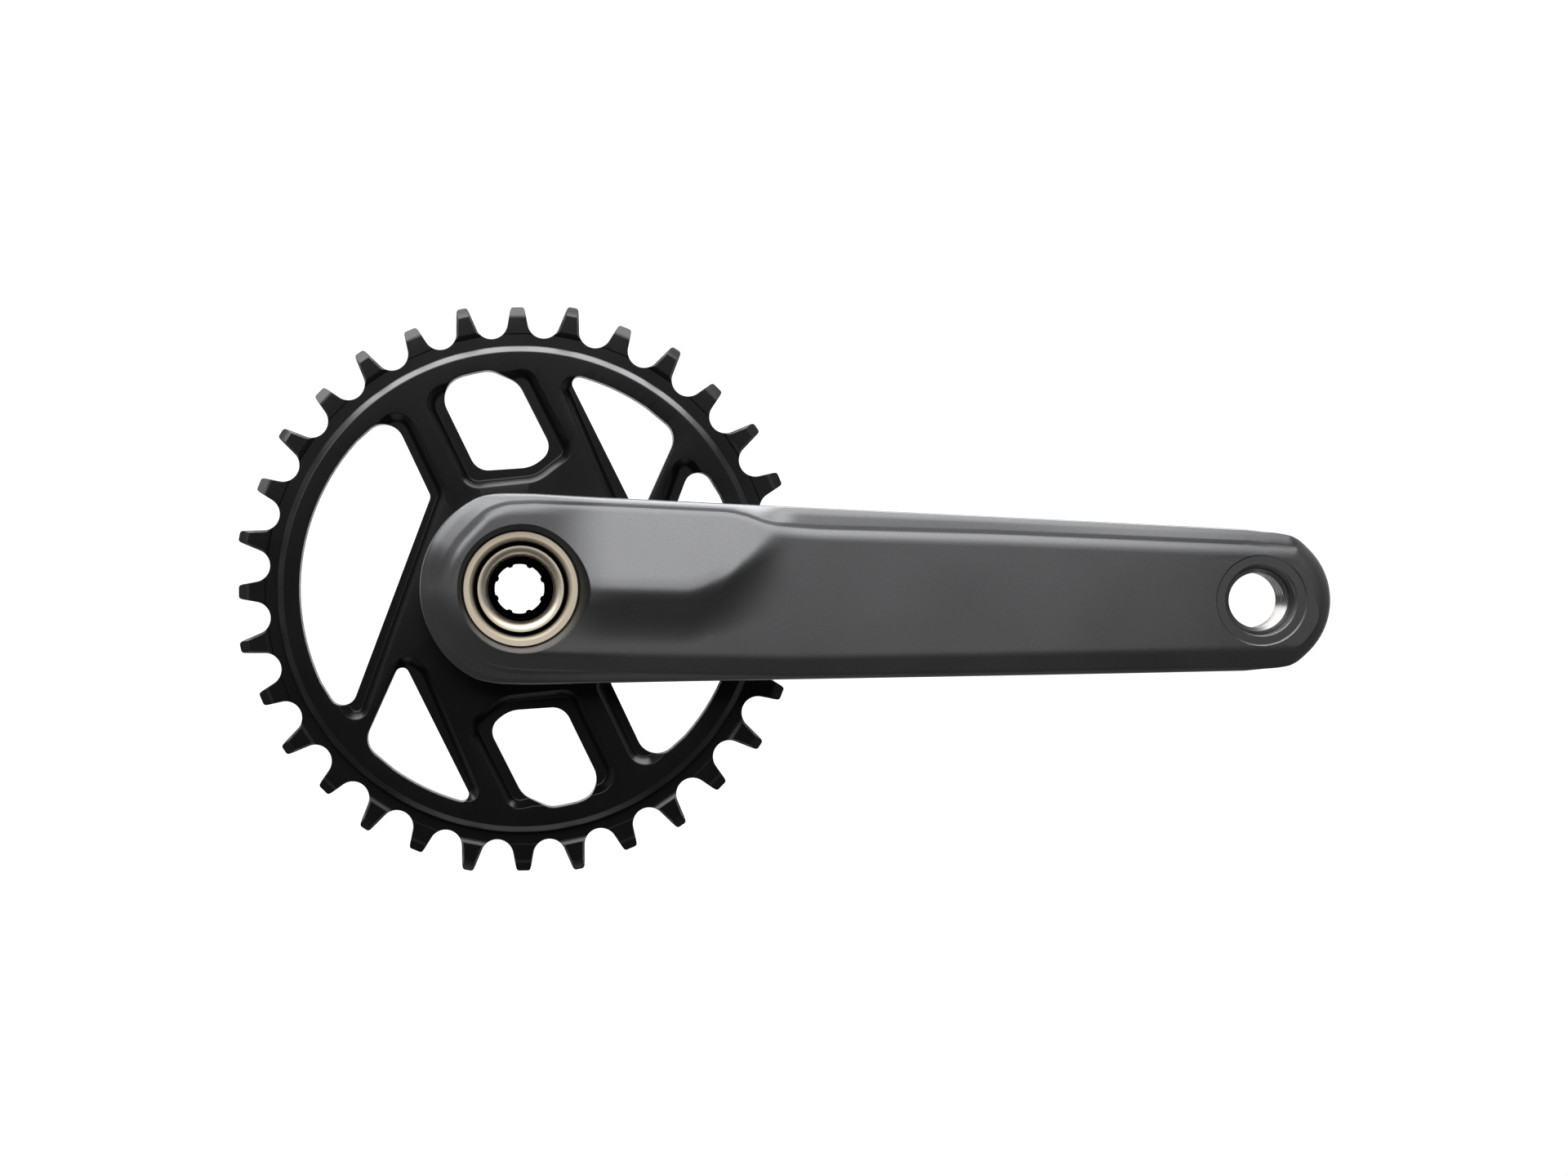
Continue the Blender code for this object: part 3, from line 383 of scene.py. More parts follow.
@cache
def plated_bolt():
    """Zinc plating with a faint cloudiness."""
    return patterned("plated_bolt", settings().bracket.zinc, lambda bolt: bolt.grain(700, 3.0),
                     tones=(0.75, 1.25), roughness=(0.24, 0.16), metal=1.0, relief=(0.00002, 0.4))


@cache
def dull_rubber():
    """Moulded rubber."""
    return patterned("dull_rubber", settings().bracket.rubber, lambda rubber: rubber.grain(1800, 3.0),
                     tones=(0.7, 1.6), roughness=(0.55, 0.2), relief=(0.00003, 0.5))


def ramp(value, start, end):
    """Run smoothly from 0 to 1 as a value goes from start to end, upwards or downwards."""
    t = min(1.0, max(0.0, (value - start) / (end - start)))
    return t * t * (3 - 2 * t)


def mix(a, b, t):
    return a + (b - a) * t


def soft_min(a, b, width):
    """The smaller of two numbers, rounded over where they meet."""
    near = max(0.0, width - abs(a - b)) / width
    return min(a, b) - near * near * width / 4


def soft_max(a, b, width):
    return -soft_min(-a, -b, width)


def along(points, x):
    """A line through (x, y) points, level beyond its ends."""
    if x <= points[0][0]:
        return points[0][1]
    for (x0, y0), (x1, y1) in zip(points, points[1:]):
        if x < x1:
            return mix(y0, y1, (x - x0) / (x1 - x0))
    return points[-1][1]


def fillet(corners, steps=10):
    """An outline through (x, z, radius) corners, with an arc at each corner that has a radius."""
    outline = []
    count = len(corners)
    for i, (x, z, radius) in enumerate(corners):
        here = Vector((x, z))
        before = (Vector(corners[i - 1][:2]) - here).normalized()
        after = (Vector(corners[(i + 1) % count][:2]) - here).normalized()
        half = before.angle(after) / 2
        if radius == 0:
            outline.append((x, z))
            continue
        centre = here + (before + after).normalized() * radius / sin(half)
        start = here + before * radius / tan(half) - centre
        end = here + after * radius / tan(half) - centre
        for k in range(steps + 1):
            point = centre + start.slerp(end, k / steps).normalized() * radius
            outline.append((point.x, point.y))
    return outline


class Skin:
    """A closed loop that is extruded ring by ring; each point remembers its place on the outline."""

    def __init__(self, outline):
        self.bm = bmesh.new()
        self.home = self.bm.verts.layers.float_vector.new("home")
        self.inward = self.bm.verts.layers.float_vector.new("inward")
        self.verts = [self.bm.verts.new((x, 0, z)) for x, z in outline]
        self.edges = [self.bm.edges.new(pair) for pair in zip(self.verts, self.verts[1:] + self.verts[:1])]
        area = sum(a.co.x * b.co.z - b.co.x * a.co.z for a, b in (edge.verts for edge in self.edges))
        for i, vert in enumerate(self.verts):
            before = (vert.co - self.verts[i - 1].co).normalized()
            after = (self.verts[(i + 1) % len(outline)].co - vert.co).normalized()
            run = (before + after).normalized()
            inward = Vector((-run.z, 0, run.x)) / max(0.4, run.dot(after))
            vert[self.home] = vert.co
            vert[self.inward] = inward if area > 0 else -inward
        self.started = False

    def ring(self, inset, level):
        """Add a ring. Inset is a number or a function of the outline's point, level of (x, z, point)."""
        if self.started:
            made = bmesh.ops.extrude_edge_only(self.bm, edges=self.edges)["geom"]
            self.edges = [part for part in made if isinstance(part, bmesh.types.BMEdge)]
            self.verts = [part for part in made if isinstance(part, bmesh.types.BMVert)]
        self.started = True
        for vert in self.verts:
            home = vert[self.home]
            place = home + vert[self.inward] * (inset(home) if callable(inset) else inset)
            place.y = level(place.x, place.z, home) if callable(level) else level
            vert.co = place
        return self

    def cap(self):
        bmesh.ops.contextual_create(self.bm, geom=self.edges)
        return self

    def rings(self, sections):
        """A solid from (inset, level) sections, capped at both ends."""
        first, *rest = sections
        self.ring(*first).cap()
        for section in rest:
            self.ring(*section)
        return self.cap().bm


def spun(profile, steps=ROUND, axis=(0, 1, 0), start=(1, 0, 0)):
    """Spin a closed (radius, along) profile about an axis through the origin."""
    bm = bmesh.new()
    axis, start = Vector(axis), Vector(start)
    verts = [bm.verts.new(start * radius + axis * way) for radius, way in profile]
    edges = [bm.edges.new(pair) for pair in zip(verts, verts[1:] + verts[:1])]
    bmesh.ops.spin(bm, geom=verts + edges, cent=(0, 0, 0), axis=axis, dvec=(0, 0, 0), angle=2 * pi,
                   steps=steps, use_merge=True)
    bmesh.ops.remove_doubles(bm, verts=bm.verts, dist=WELD)
    return bm


def turned(profile, side=LEFT, steps=ROUND):
    """Spin a (radius, out) profile about the axle on one side of the bike."""
    return spun([(radius, side * out) for radius, out in profile], steps)


def eased(profile, size, steps=3):
    """Round every corner of a (radius, out) profile that lies off the axis."""
    corners = [(r, out, size if r > 0.01 else 0) for r, out in profile]
    return fillet(corners, steps)


def moved(bm, place=(0, 0, 0), turn=None):
    """Turn and then shift a whole mesh."""
    if turn is not None:
        bmesh.ops.rotate(bm, verts=bm.verts, matrix=turn)
    bmesh.ops.translate(bm, verts=bm.verts, vec=place)
    return bm


def joined(meshes):
    """Put several meshes into one."""
    whole = bmesh.new()
    for bm in meshes:
        carrier = bpy.data.meshes.new("carrier")
        bm.to_mesh(carrier)
        bm.free()
        whole.from_mesh(carrier)
        bpy.data.meshes.remove(carrier)
    return whole


def as_object(name, bm):
    """Close a mesh drawn in millimetres into an object in metres."""
    bmesh.ops.remove_doubles(bm, verts=bm.verts, dist=WELD)
    bmesh.ops.scale(bm, verts=bm.verts, vec=(MM, MM, MM))
    bmesh.ops.recalc_face_normals(bm, faces=bm.faces)
    mesh = bpy.data.meshes.new(name)
    bm.to_mesh(mesh)
    bm.free()
    made = bpy.data.objects.new(name, mesh)
    bpy.context.scene.collection.objects.link(made)
    return made


def settle(piece):
    """Apply the modifiers of a piece for good."""
    depsgraph = bpy.context.evaluated_depsgraph_get()
    mesh = bpy.data.meshes.new_from_object(piece.evaluated_get(depsgraph), preserve_all_data_layers=True,
                                           depsgraph=depsgraph)
    piece.modifiers.clear()
    piece.data = mesh


def carve(piece, *cuts):
    """Apply (mesh, operation) Booleans to a piece for good."""
    tools = []
    for k, (bm, operation) in enumerate(cuts):
        tool = as_object(f"{piece.name}_tool_{k}", bm)
        modifier = piece.modifiers.new(tool.name, "BOOLEAN")
        modifier.operation = operation
        modifier.solver = "EXACT"
        modifier.object = tool
        tools.append(tool)
    settle(piece)
    for tool in tools:
        bpy.data.objects.remove(tool)
    if not piece.data.polygons:
        raise RuntimeError(f"nothing is left of {piece.name} after its cuts")


def dress(piece, finish, slot, body, *nodes):
    """Give a piece its finish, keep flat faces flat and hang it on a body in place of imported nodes."""
    mesh = piece.data
    mesh.materials.clear()
    mesh.materials.append(finish)
    mesh.shade_smooth()
    mesh.set_sharp_from_angle(angle=SHARP)
    if slot != PAINT_SLOT:
        weigh = piece.modifiers.new("weigh", "WEIGHTED_NORMAL")
        weigh.keep_sharp = True
        settle(piece)
    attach(piece, body)
    if nodes:
        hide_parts(*nodes)


# How far the front drops at a distance inside the crease that runs round each arm.
FACET_SHOULDER = ((0, 0.16), (0.2, 0.145), (0.4, 0.10), (0.65, 0.04), (0.9, 0.01), (1.2, 0))
TOP_SHOULDER = ((0, 0.46), (0.2, 0.445), (0.4, 0.395), (0.65, 0.32), (0.9, 0.245), (1.2, 0.17), (1.6, 0.095),
                (2.0, 0.045), (2.4, 0.015), (2.8, 0))
BOSS_SHOULDER = ((0, 0.36), (0.65, 0.35), (0.9, 0.33), (1.2, 0.27), (1.6, 0.12), (2.0, 0.03), (2.4, 0))
LOW_SHOULDER = ((0, 1.02), (0.4, 0.86), (3.2, 0.22), (3.6, 0.13), (4.0, 0.06), (4.4, 0.02), (4.8, 0))
SHOULDER_STEPS = (0.2, 0.4, 0.65, 0.9, 1.2, 1.6, 2.0, 2.4, 2.8, 3.2, 3.6, 4.0, 4.4, 4.8)
# How far the crease lies in from the top edge along the arm, and how the rim and the pedal end are rounded.
TOP_CREASE = ((0, 2.3), (20, 2.1), (47.0, 2.05), (49.5, 2.2), (52.7, 2.85), (56.6, 4.1), (58.5, 4.5),
              (60.0, 4.7), (70.0, 4.9), (108.6, 4.05), (147.0, 3.7), (176.0, 3.4))
RIM_ROUND = ((0, 0.8), (0.05, 0.5), (0.12, 0.26), (0.22, 0.09), (0.36, 0))
END_ROUND = ((0, 3.4), (0.25, 2.4), (0.7, 1.65), (1.4, 0.95), (2.2, 0.45), (3.2, 0.12), (4.4, 0))
# The rounded back edge of each arm: how far in from the outline, and how far above the back.
BACK_ROUND = ((2.2, 0.0), (1.5, 0.06), (0.8, 0.3), (0.3, 0.8), (0.0, 1.6))


class ArmShape:
    """The plan of one crank arm: a round boss, straight edges that draw together and a round pedal end."""

    pedal_radius, end_zone = 16.7, 30.0
    corner, pedal_corner = 2.4, 2.6
    boss_crease, facet_tilt, reach = 5.3, 0.0, 1.0

    def __init__(self, side, boss_radius, half_width, taper):
        self.side = side
        self.boss_radius = boss_radius
        self.half_width = half_width
        self.taper = taper
        self.length = settings().arms.crank_length
        self.pedal_face = settings().arms.pedal_face

    def edge(self, x):
        return self.half_width - self.taper * x

    def end_point(self, angle, x, radius, corner):
        """A point on an end round, cut off by the straight edge over a soft corner."""
        limit = self.edge(x) / (sin(angle) + self.taper * cos(angle)) if sin(angle) > 0.3 else radius * 2
        reach = soft_min(radius, limit, corner)
        return x + reach * cos(angle), reach * sin(angle)

    def upper_outline(self):
        """The upper half, from the back of the boss to the tip, in finer steps where the spine runs."""
        boss = [pi - radians(84) * k / 48 for k in range(49)]
        pedal = [radians(85) * (1 - k / 44) for k in range(45)]
        straight = [3.0 + 0.6 * k for k in range(120)] + [75.5 + 1.6 * k for k in range(58)]
        points = [self.end_point(angle, 0.0, self.boss_radius, self.corner) for angle in boss]
        points += [(x, self.edge(x)) for x in straight]
        points += [self.end_point(angle, self.length, self.pedal_radius, self.pedal_corner)
                   for angle in pedal]
        points[0] = (-self.boss_radius, 0.0)
        points[-1] = (self.length + self.pedal_radius, 0.0)
        return points

    def crease(self, home):
        """How far the ledge reaches in from the outline; along the lower edge the crease runs level."""
        x, z = home.x, home.z
        straight = mix(max(0.9, self.edge(x) - 19.3), along(TOP_CREASE, x), ramp(z, -6, 6))
        return mix(self.boss_crease, straight, ramp(x, -18, 1))

    def foot(self, crease):
        """The widths of the flat foot of the crease and of the curve that leads up to the ledge."""
        size = min(1.0, crease / 2.0)
        return 0.7 * size, 0.4 * size

    def insets(self, home):
        """Where the rings lie, from the outline over the rim, the ledge and the crease to the face."""
        crease = self.crease(home)
        flat, cove = self.foot(crease)
        outer = crease - flat - cove
        rings = [inset for inset, _ in RIM_ROUND]
        rings += [(rings[-1] + outer) / 2, outer, outer + cove / 2, crease - flat]
        rings += [crease - 0.05, crease + 0.05]
        reach = self.reach * mix(1.0, 0.55, ramp(home.x, 150, 165))
        rings += [crease + step * reach for step in SHOULDER_STEPS]
        return [inset * mix(1.0, 0.85, self.end_share(home)) for inset in rings]

    def end_share(self, home):
        """0 along the arm and 1 round its pedal end."""
        return ramp(home.x, self.length + 4, self.length + 12)

    def ledge_drop(self, distance, home):
        """How far the surface lies below the face: a shoulder, a ledge that flattens along the arm, a rim."""
        crease = self.crease(home)
        flat, cove = self.foot(crease)
        low = ramp(home.z, 12, 0)
        far = ramp(home.x, 54, 65)
        over = ramp(home.x, -16, 0)
        tip = ramp(home.x, 100, 175)
        inside, outside = (distance - crease) / self.reach, max(0.0, crease - distance)
        off_facet = max(far, ramp(home.x, 14, 0))
        top = mix(along(FACET_SHOULDER, inside), along(TOP_SHOULDER, inside), off_facet)
        top = mix(along(BOSS_SHOULDER, inside), top, over)
        steep = mix(mix(mix(0.2, 0.7, over), 0.09 + 0.16 * tip, far), mix(0.3, 0.15, over), low)
        foot = mix(self.facet_tilt * ramp(home.x, 2, 18) * (1 - far), mix(0.3, 0.1, over), low)
        beyond = max(0.0, outside - flat)
        curve = min(cove, beyond)
        ledge = foot * outside + (steep - foot) * (beyond - curve + curve * curve / (2 * cove))
        return mix(top, along(LOW_SHOULDER, inside), low) + ledge + along(RIM_ROUND, distance)

    def end_drop(self, distance):
        """The plain rounding of the pedal end."""
        return along(END_ROUND, distance)

    def front(self, x, z, home):
        """The front surface, as a distance out, under the ledge or the end rounding."""
        distance = hypot(x - home.x, z - home.z)
        if home.x > self.length - self.end_zone:
            line = self.edge(x) - abs(z)
            drop = max(self.ledge_drop(line, home), self.end_drop(distance) * self.end_share(home))
        else:
            drop = self.ledge_drop(distance, home)
        return self.side * (self.face(x, z) - drop)

    def flat_front(self, x, z):
        """The front surface inside the last ring."""
        line = self.edge(x) - abs(z)
        near_end = x > self.length - self.end_zone
        drop = self.ledge_drop(line, Vector((x, 0, z))) if near_end else 0.0
        return self.side * (self.face(x, z) - drop)

    def hollow(self, x, z):
        """The back surface with its long pocket."""
        depth = 4.0 * ramp(x, 38, 44) * ramp(x, 148, 142)
        return self.side * (self.back(x) + depth * ramp(self.edge(x) - abs(z), 5.0, 7.5))


class RightShape(ArmShape):
    """The drive side: a flat boss and a spine that crosses to the top edge."""

    boss_face, boss_back, facet_tilt = 74.0, 60.0, -0.25

    def base(self, x):
        return mix(self.boss_face, self.pedal_face, ramp(x, 5, 165))

    def crest(self, x):
        """Where the spine's crest runs across the arm: level, then up in a curve to the top edge."""
        return min(17.0, -1.5 + soft_max(0.0, 0.88 * (x - 43.2), 5.2))

    def facet(self, x, z):
        """The sloping top of the spine, which bends over a little before its crest."""
        bend = min(5.0, max(0.0, 5.0 - (z - self.crest(x)))) ** 2 * 0.013 * ramp(x, 50, 44)
        return 77.0 + 0.10 * (x - 17) + 0.04 * max(0.0, x - 46) - 0.20 * (z + 1.85) - bend

    def face(self, x, z):
        """A flat boss that grows a spine, which turns up across the arm and runs out at its top edge."""
        base = self.base(x)
        crest = self.crest(x)
        height = max(0.0, self.facet(x, crest) - base)
        fall = min(1.0, (crest - z) / (11.0 + 0.5 * max(0.0, x - 44)))
        spine = soft_min(self.facet(x, z), base + height * (1 - fall) ** 2, mix(1.4, 0.9, ramp(x, 42, 50)))
        spine = mix(spine, base, ramp(x, 54, 68))
        dome = 0.2 * min(5.0, max(0.0, hypot(min(x, 0.0), z) - 15)) * ramp(z, 2, -12) * ramp(x, 28, 8)
        return mix(self.boss_face - 0.03 * max(0.0, 6 - x), spine, ramp(x, 3, 23)) - dome

    def back(self, x):
        return mix(self.boss_back, self.pedal_face - 13, ramp(x, 22, 167))


class LeftShape(ArmShape):
    """The other side: plain, with a larger boss."""

    boss_face, boss_back, corner, boss_crease, reach = 68.5, 48.3, 6.0, 2.1, 0.72

    def face(self, x, z):
        return mix(self.boss_face, self.pedal_face, ramp(x, 12, 152))

    def back(self, x):
        return mix(self.boss_back, self.pedal_face - 13, ramp(x, 18, 158))


def fill_columns(bm, edges, cuts, level):
    """Close a ring with strips between its upper and lower halves, cut into small steps."""
    verts = {vert for edge in edges for vert in edge.verts}
    tips = (min(verts, key=lambda v: v.co.x), max(verts, key=lambda v: v.co.x))
    ends = [[edge.other_vert(tip) for edge in edges if tip in edge.verts] for tip in tips]
    spans = [edge for edge in edges if not any(tip in edge.verts for tip in tips)]
    across = bmesh.ops.bridge_loops(bm, edges=spans)["edges"]
    for tip, pair in zip(tips, ends):
        bmesh.ops.contextual_create(bm, geom=[tip, *pair])
    made = bmesh.ops.subdivide_edges(bm, edges=across, cuts=cuts, use_grid_fill=True)
    for part in made["geom_inner"]:
        if isinstance(part, bmesh.types.BMVert):
            part.co.y = level(part.co.x, part.co.z)


def arm_skin(shape):
    """Rings from the back pocket over the side and the ledge to the front, then strips across both faces."""
    upper = shape.upper_outline()
    skin = Skin(upper + [(x, -z) for x, z in reversed(upper[1:-1])])
    side = shape.side

    def back_level(lift):
        return lambda x, z, home: side * (shape.back(home.x) + lift)

    skin.ring(4.5, lambda x, z, home: shape.hollow(x, z))
    for inset, lift in BACK_ROUND:
        skin.ring(inset, back_level(lift))
    for index in range(len(shape.insets(skin.verts[0][skin.home]))):
        skin.ring(lambda home, index=index: shape.insets(home)[index], shape.front)
    fill_columns(skin.bm, skin.edges, 44, shape.flat_front)
    fill_columns(skin.bm, [edge for edge in skin.bm.edges if edge.is_boundary], 30, shape.hollow)
    return skin.bm


def pedal_cut(side):
    """The spot face, counterbore and hole of one pedal."""
    arms = settings().arms
    face = arms.pedal_face
    spot = face - 0.3
    profile = [(0, face + 3), (13.5, face + 3), (10.2, spot), (8.35, spot), (8.05, face - 0.6),
               (8.0, face - 3.2), (7.6, face - 3.7), (7.6, face - 20), (0, face - 20)]
    return moved(turned(profile, side), (arms.crank_length, 0, 0))


def pedal_thread(side, word):
    """Bare thread in a pedal hole: rings at the thread's pitch, from the counterbore to the back."""
    arms = settings().arms
    pitch, low, high, wall = 1.27, 6.35, 7.14, 7.55
    start, end = arms.pedal_face - 13.0, arms.pedal_face - 3.9
    profile = [(wall, start), (wall, end), (7.2, end)]
    way = end - 0.3
    while way - pitch > start + 0.3:
        profile += [(high, way), (low, way - 0.4 * pitch), (low, way - 0.65 * pitch)]
        way -= pitch
    profile += [(high, way), (high, start)]
    piece = as_object(f"{word}_pedal_thread", moved(turned(profile, side, 96), (arms.crank_length, 0, 0)))
    dress(piece, bare_thread(), "bolt_steel", "crank")


class CRANKSET_OT_right_arm(bpy.types.Operator):
    """Build the right arm with its spine, stepped edges, axle recess and pedal hole"""
    bl_idname = "crankset.right_arm"
    bl_label = "Right arm"

    def execute(self, context):
        shape = RightShape(RIGHT, boss_radius=23.9, half_width=22.65, taper=0.0381)
        arm = as_object("right_arm_forging", arm_skin(shape))
        clear_of_face, clear_of_back, seat, seat_floor = 84, 40, 13.86, 67.9
        mouth = RECESS_RADIUS + (clear_of_face - RECESS_OUT) / RECESS_SLOPE
        recess = turned([(0, clear_of_face), (mouth, clear_of_face), (RECESS_RADIUS, RECESS_OUT),
                         (seat, 71.3), (seat, seat_floor), (AXLE_FIT, seat_floor),
                         (AXLE_FIT, clear_of_back), (0, clear_of_back)], RIGHT)
        carve(arm, (recess, CUT), (pedal_cut(RIGHT), CUT))
        dress(arm, satin_paint(), PAINT_SLOT, "crank", "right_crank_arm")
        stub = turned(eased([(AXLE_FIT, 50.9), (AXLE_FIT, 62), (20.0, 62), (20.0, DISC_BACK),
                             (19.2, DISC_BACK), (19.2, 50.9)], 0.25), RIGHT)
        dress(as_object("right_arm_stub", stub), satin_paint(), PAINT_SLOT, "crank")
        pedal_thread(RIGHT, "right")
        return {"FINISHED"}


class CRANKSET_OT_left_arm(bpy.types.Operator):
    """Build the left arm with its pinch slit, bolt seats and pedal hole"""
    bl_idname = "crankset.left_arm"
    bl_label = "Left arm"

    def execute(self, context):
        shape = LeftShape(LEFT, boss_radius=26.5, half_width=20.3, taper=0.0243)
        arm = as_object("left_arm_forging", arm_skin(shape))
        bore = turned([(0, 72), (14.2, 72), (14.2, 66.3), (AXLE_FIT, 66.3), (AXLE_FIT, 44), (0, 44)])
        slit = Skin([(-31, -2), (-9, -2), (-9, 2), (-31, 2)]).rings([(0, 44), (0, 73)])
        seats = []
        for _, out, up in PINCH_BOLTS:
            profile = [(0, 30), (4.8, 30), (4.8, 11.0), (3.1, 11.0), (3.1, -15.5), (0, -15.5)]
            seats.append(moved(spun(profile, 48, (0, 0, up)), (PINCH_X, out, 0)))
        carve(arm, (bore, CUT), (slit, CUT), (pedal_cut(LEFT), CUT), (joined(seats), CUT))
        dress(arm, satin_paint(), PAINT_SLOT, "crank", "left_crank_arm")
        pedal_thread(LEFT, "left")
        return {"FINISHED"}


class CRANKSET_OT_pinch_bolts(bpy.types.Operator):
    """Build the two socket bolts that pinch the left arm"""
    bl_idname = "crankset.pinch_bolts"
    bl_label = "Pinch bolts"

    def execute(self, context):
        head, shank, key = 4.5, 2.8, 2.9
        top, under_head, end = 16.8, 11.3, -15.2
        for name, out, up in PINCH_BOLTS:
            profile = eased([(0, top), (head, top), (head, under_head), (shank, under_head), (shank, end),
                             (0, end)], 0.4)
            bolt = as_object(f"{name}_skin", moved(spun(profile, 64, (0, 0, up)), (PINCH_X, out, 0)))
            hexagon = [(key * cos(pi * k / 3), key * sin(pi * k / 3)) for k in range(6)]
            socket = Skin(hexagon).rings([(0, 20), (0, 14.2), (1.6, 13.6)])
            turn = Matrix.Rotation(up * pi / 2, 3, "X")
            carve(bolt, (moved(socket, (PINCH_X, out, 0), turn), CUT))
            dress(bolt, plated_bolt(), "bolt_steel", "crank", name)
        return {"FINISHED"}


class CRANKSET_OT_stopper(bpy.types.Operator):
    """Build the plastic catch that sits in the slit of the left arm"""
    bl_idname = "crankset.stopper"
    bl_label = "Stopper plate"

    def execute(self, context):
        pivot = (PINCH_X, PINCH_BOLTS[1][1], 0)
        corners = [(-4.6, -2.0, 1.5), (-2.6, -5.4, 1.0), (7.5, -5.4, 0.5), (7.5, -3.4, 0.5), (4.0, -3.4, 0.4),
                   (4.0, 2.6, 2.0), (0.0, 4.6, 1.5), (-4.6, 3.6, 1.5)]
        half, edge, hole = 1.5, 0.25, 3.1
        sections = [(edge, -half), (0, edge - half), (0, half - edge), (edge, half)]
        body = Skin(fillet(corners, 5)).rings(sections)
        plate = as_object("stopper_plate_skin", moved(body, pivot, Matrix.Rotation(-pi / 2, 3, "X")))
        pin = spun([(0, -4), (hole, -4), (hole, 4), (0, 4)], 48, axis=(0, 0, 1))
        carve(plate, (moved(pin, pivot), CUT))
        dress(plate, moulded_black(), "cap_plastic", "stopper", "stopper_plate")
        return {"FINISHED"}


class CRANKSET_OT_axle(bpy.types.Operator):
    """Build the hollow axle with its stepped right end"""
    bl_idname = "crankset.axle"
    bl_label = "Axle"

    def execute(self, context):
        bore, outside, flange, groove = 10.3, 12.0, 13.55, 11.2
        face, end, groove_floor = -71.5, 66.1, -69.1
        lip, crest, sink, depth = 7.75, 10.2, 0.5, 2.8
        corners = [(bore, end, 0.1), (11.4, end, 0.1), (outside, 65.5, 0.1), (outside, face + 3.1, 0.1),
                   (flange, face + 3.1, 0.1), (flange, face, 0.12), (12.2, face, 0.12),
                   (groove, face + 1.0, 0.12), (groove, groove_floor, 0.1), (crest, groove_floor, 0.1)]
        for k in range(17):
            angle = pi / 2 * k / 16
            bell = depth * (1 - cos(angle)) ** 1.3
            corners.append((mix(crest, lip, sin(angle)), face + sink + bell, 0))
        corners.append((bore, face + sink + depth + 3.0, 0.1))
        axle = as_object("axle_tube", spun(fillet(corners, 3), 160))
        slot_size, slot_place = (8, 4.7, 3.4), (-outside, 57.95, 0)
        slot = bmesh.new()
        bmesh.ops.create_cube(slot, size=1.0)
        bmesh.ops.scale(slot, verts=slot.verts, vec=slot_size)
        carve(axle, (moved(slot, slot_place), CUT))
        dress(axle, champagne_plating(), "axle_gold", "crank", "axle")
        return {"FINISHED"}


class CRANKSET_OT_fixing_cap(bpy.types.Operator):
    """Build the cap at the left end of the axle, with its splined key hole"""
    bl_idname = "crankset.fixing_cap"
    bl_label = "Fixing cap"

    def execute(self, context):
        top, hole, bump, splines, parts = 68.1, 7.1, 0.55, 8, 24
        head, body, under_head, end, beyond = 13.8, 9.9, top - 1.7, top - 9.5, top - 9.9
        profile = [(4.0, top), (head, top), (head, under_head), (body, under_head), (body, end), (4.0, end)]
        cap = as_object("fixing_cap", turned(eased(profile, 0.35)))
        outline = []
        for k in range(splines):
            for part in range(parts):
                lobe = ramp(abs(part / parts - 0.5), 0.10, 0.15)
                angle = 2 * pi * (k + part / parts) / splines
                radius = hole - bump * (1 - lobe)
                outline.append((radius * cos(angle), radius * sin(angle)))
        key = Skin(outline).rings([(-0.8, top + 0.4), (-0.4, top), (0, top - 0.5), (0, beyond)])
        flare = turned([(0, beyond), (8.6, beyond), (8.3, top - 9.0), (7.0, top - 8.2), (0, top - 8.2)])
        carve(cap, (key, CUT), (flare, CUT))
        dress(cap, moulded_black(), "cap_plastic", "crank", "left_arm_fixing_cap")
        return {"FINISHED"}


def rim_arc(start, end, radius, count=24):
    """Corners along a circle inside the rim, by angle in degrees."""
    angles = [radians(mix(start, end, k / (count - 1))) for k in range(count)]
    return [(radius * cos(a), radius * sin(a), 0) for a in angles]


def windows():
    """The (through hole, pocket) outlines of one half of the ring."""
    wide = RIM - 1.2
    tall = ([(-32.1, 42.5, 5.0), *rim_arc(139, 206, RIM), (-41.7, -33.0, 3.4), (-22.0, 22.0, 2.0)],
            [(-29.6, 45.0, 4.5), *rim_arc(136, 209, wide), (-38.3, -35.2, 3.0), (-18.4, 23.0, 4.5)])
    key = ([(7.3, 33.6, 4.0), (-1.3, 49.9, 6.0), (-8.2, 52.7, 5.0), *rim_arc(100.5, 106, RIM, 5),
            (-21.2, 48.6, 5.5), (-10.9, 28.3, 4.5), (2.3, 29.4, 8.0)],
           [(12.2, 32.8, 3.5), (1.4, 53.2, 3.6), *rim_arc(94, 108, wide, 6), (-25.0, 47.3, 4.6),
            (-13.2, 24.0, 4.5), (3.8, 26.0, 9.0)])
    long = ([(37.4, 38.1, 5.0), *rim_arc(56, 74, RIM, 9), (10.2, 52.3, 1.7), (28.4, 17.2, 1.7)],
            [(37.7, 38.3, 5.0), *rim_arc(56, 71, wide, 8), (7.2, 53.0, 2.4), (22.4, 19.6, 3.0),
             (28.0, 15.6, 2.4)])
    return tall, key, long


# Half of a tooth's outline below its tip, as (radius, half width): blunt on thin teeth, slim on wide ones.
BLUNT_TIP = ((67.1, 1.86), (67.75, 1.68), (68.08, 1.45), (68.2, 1.1))
SLIM_TIP = ((67.9, 1.62), (68.7, 1.42), (69.1, 1.18), (69.3, 0.8))
# The same for the raised pads, from their foot up.
PAD_FOOT, PAD_FOOT_WIDTH = 61.55, 3.72
PAD_SIDE = ((62.9, 2.75), (63.9, 2.45))
BLUNT_PAD = ((67.1, 1.86), (67.9, 1.6))
SLIM_PAD = ((67.9, 1.62), (68.7, 1.42), (69.0, 1.24))
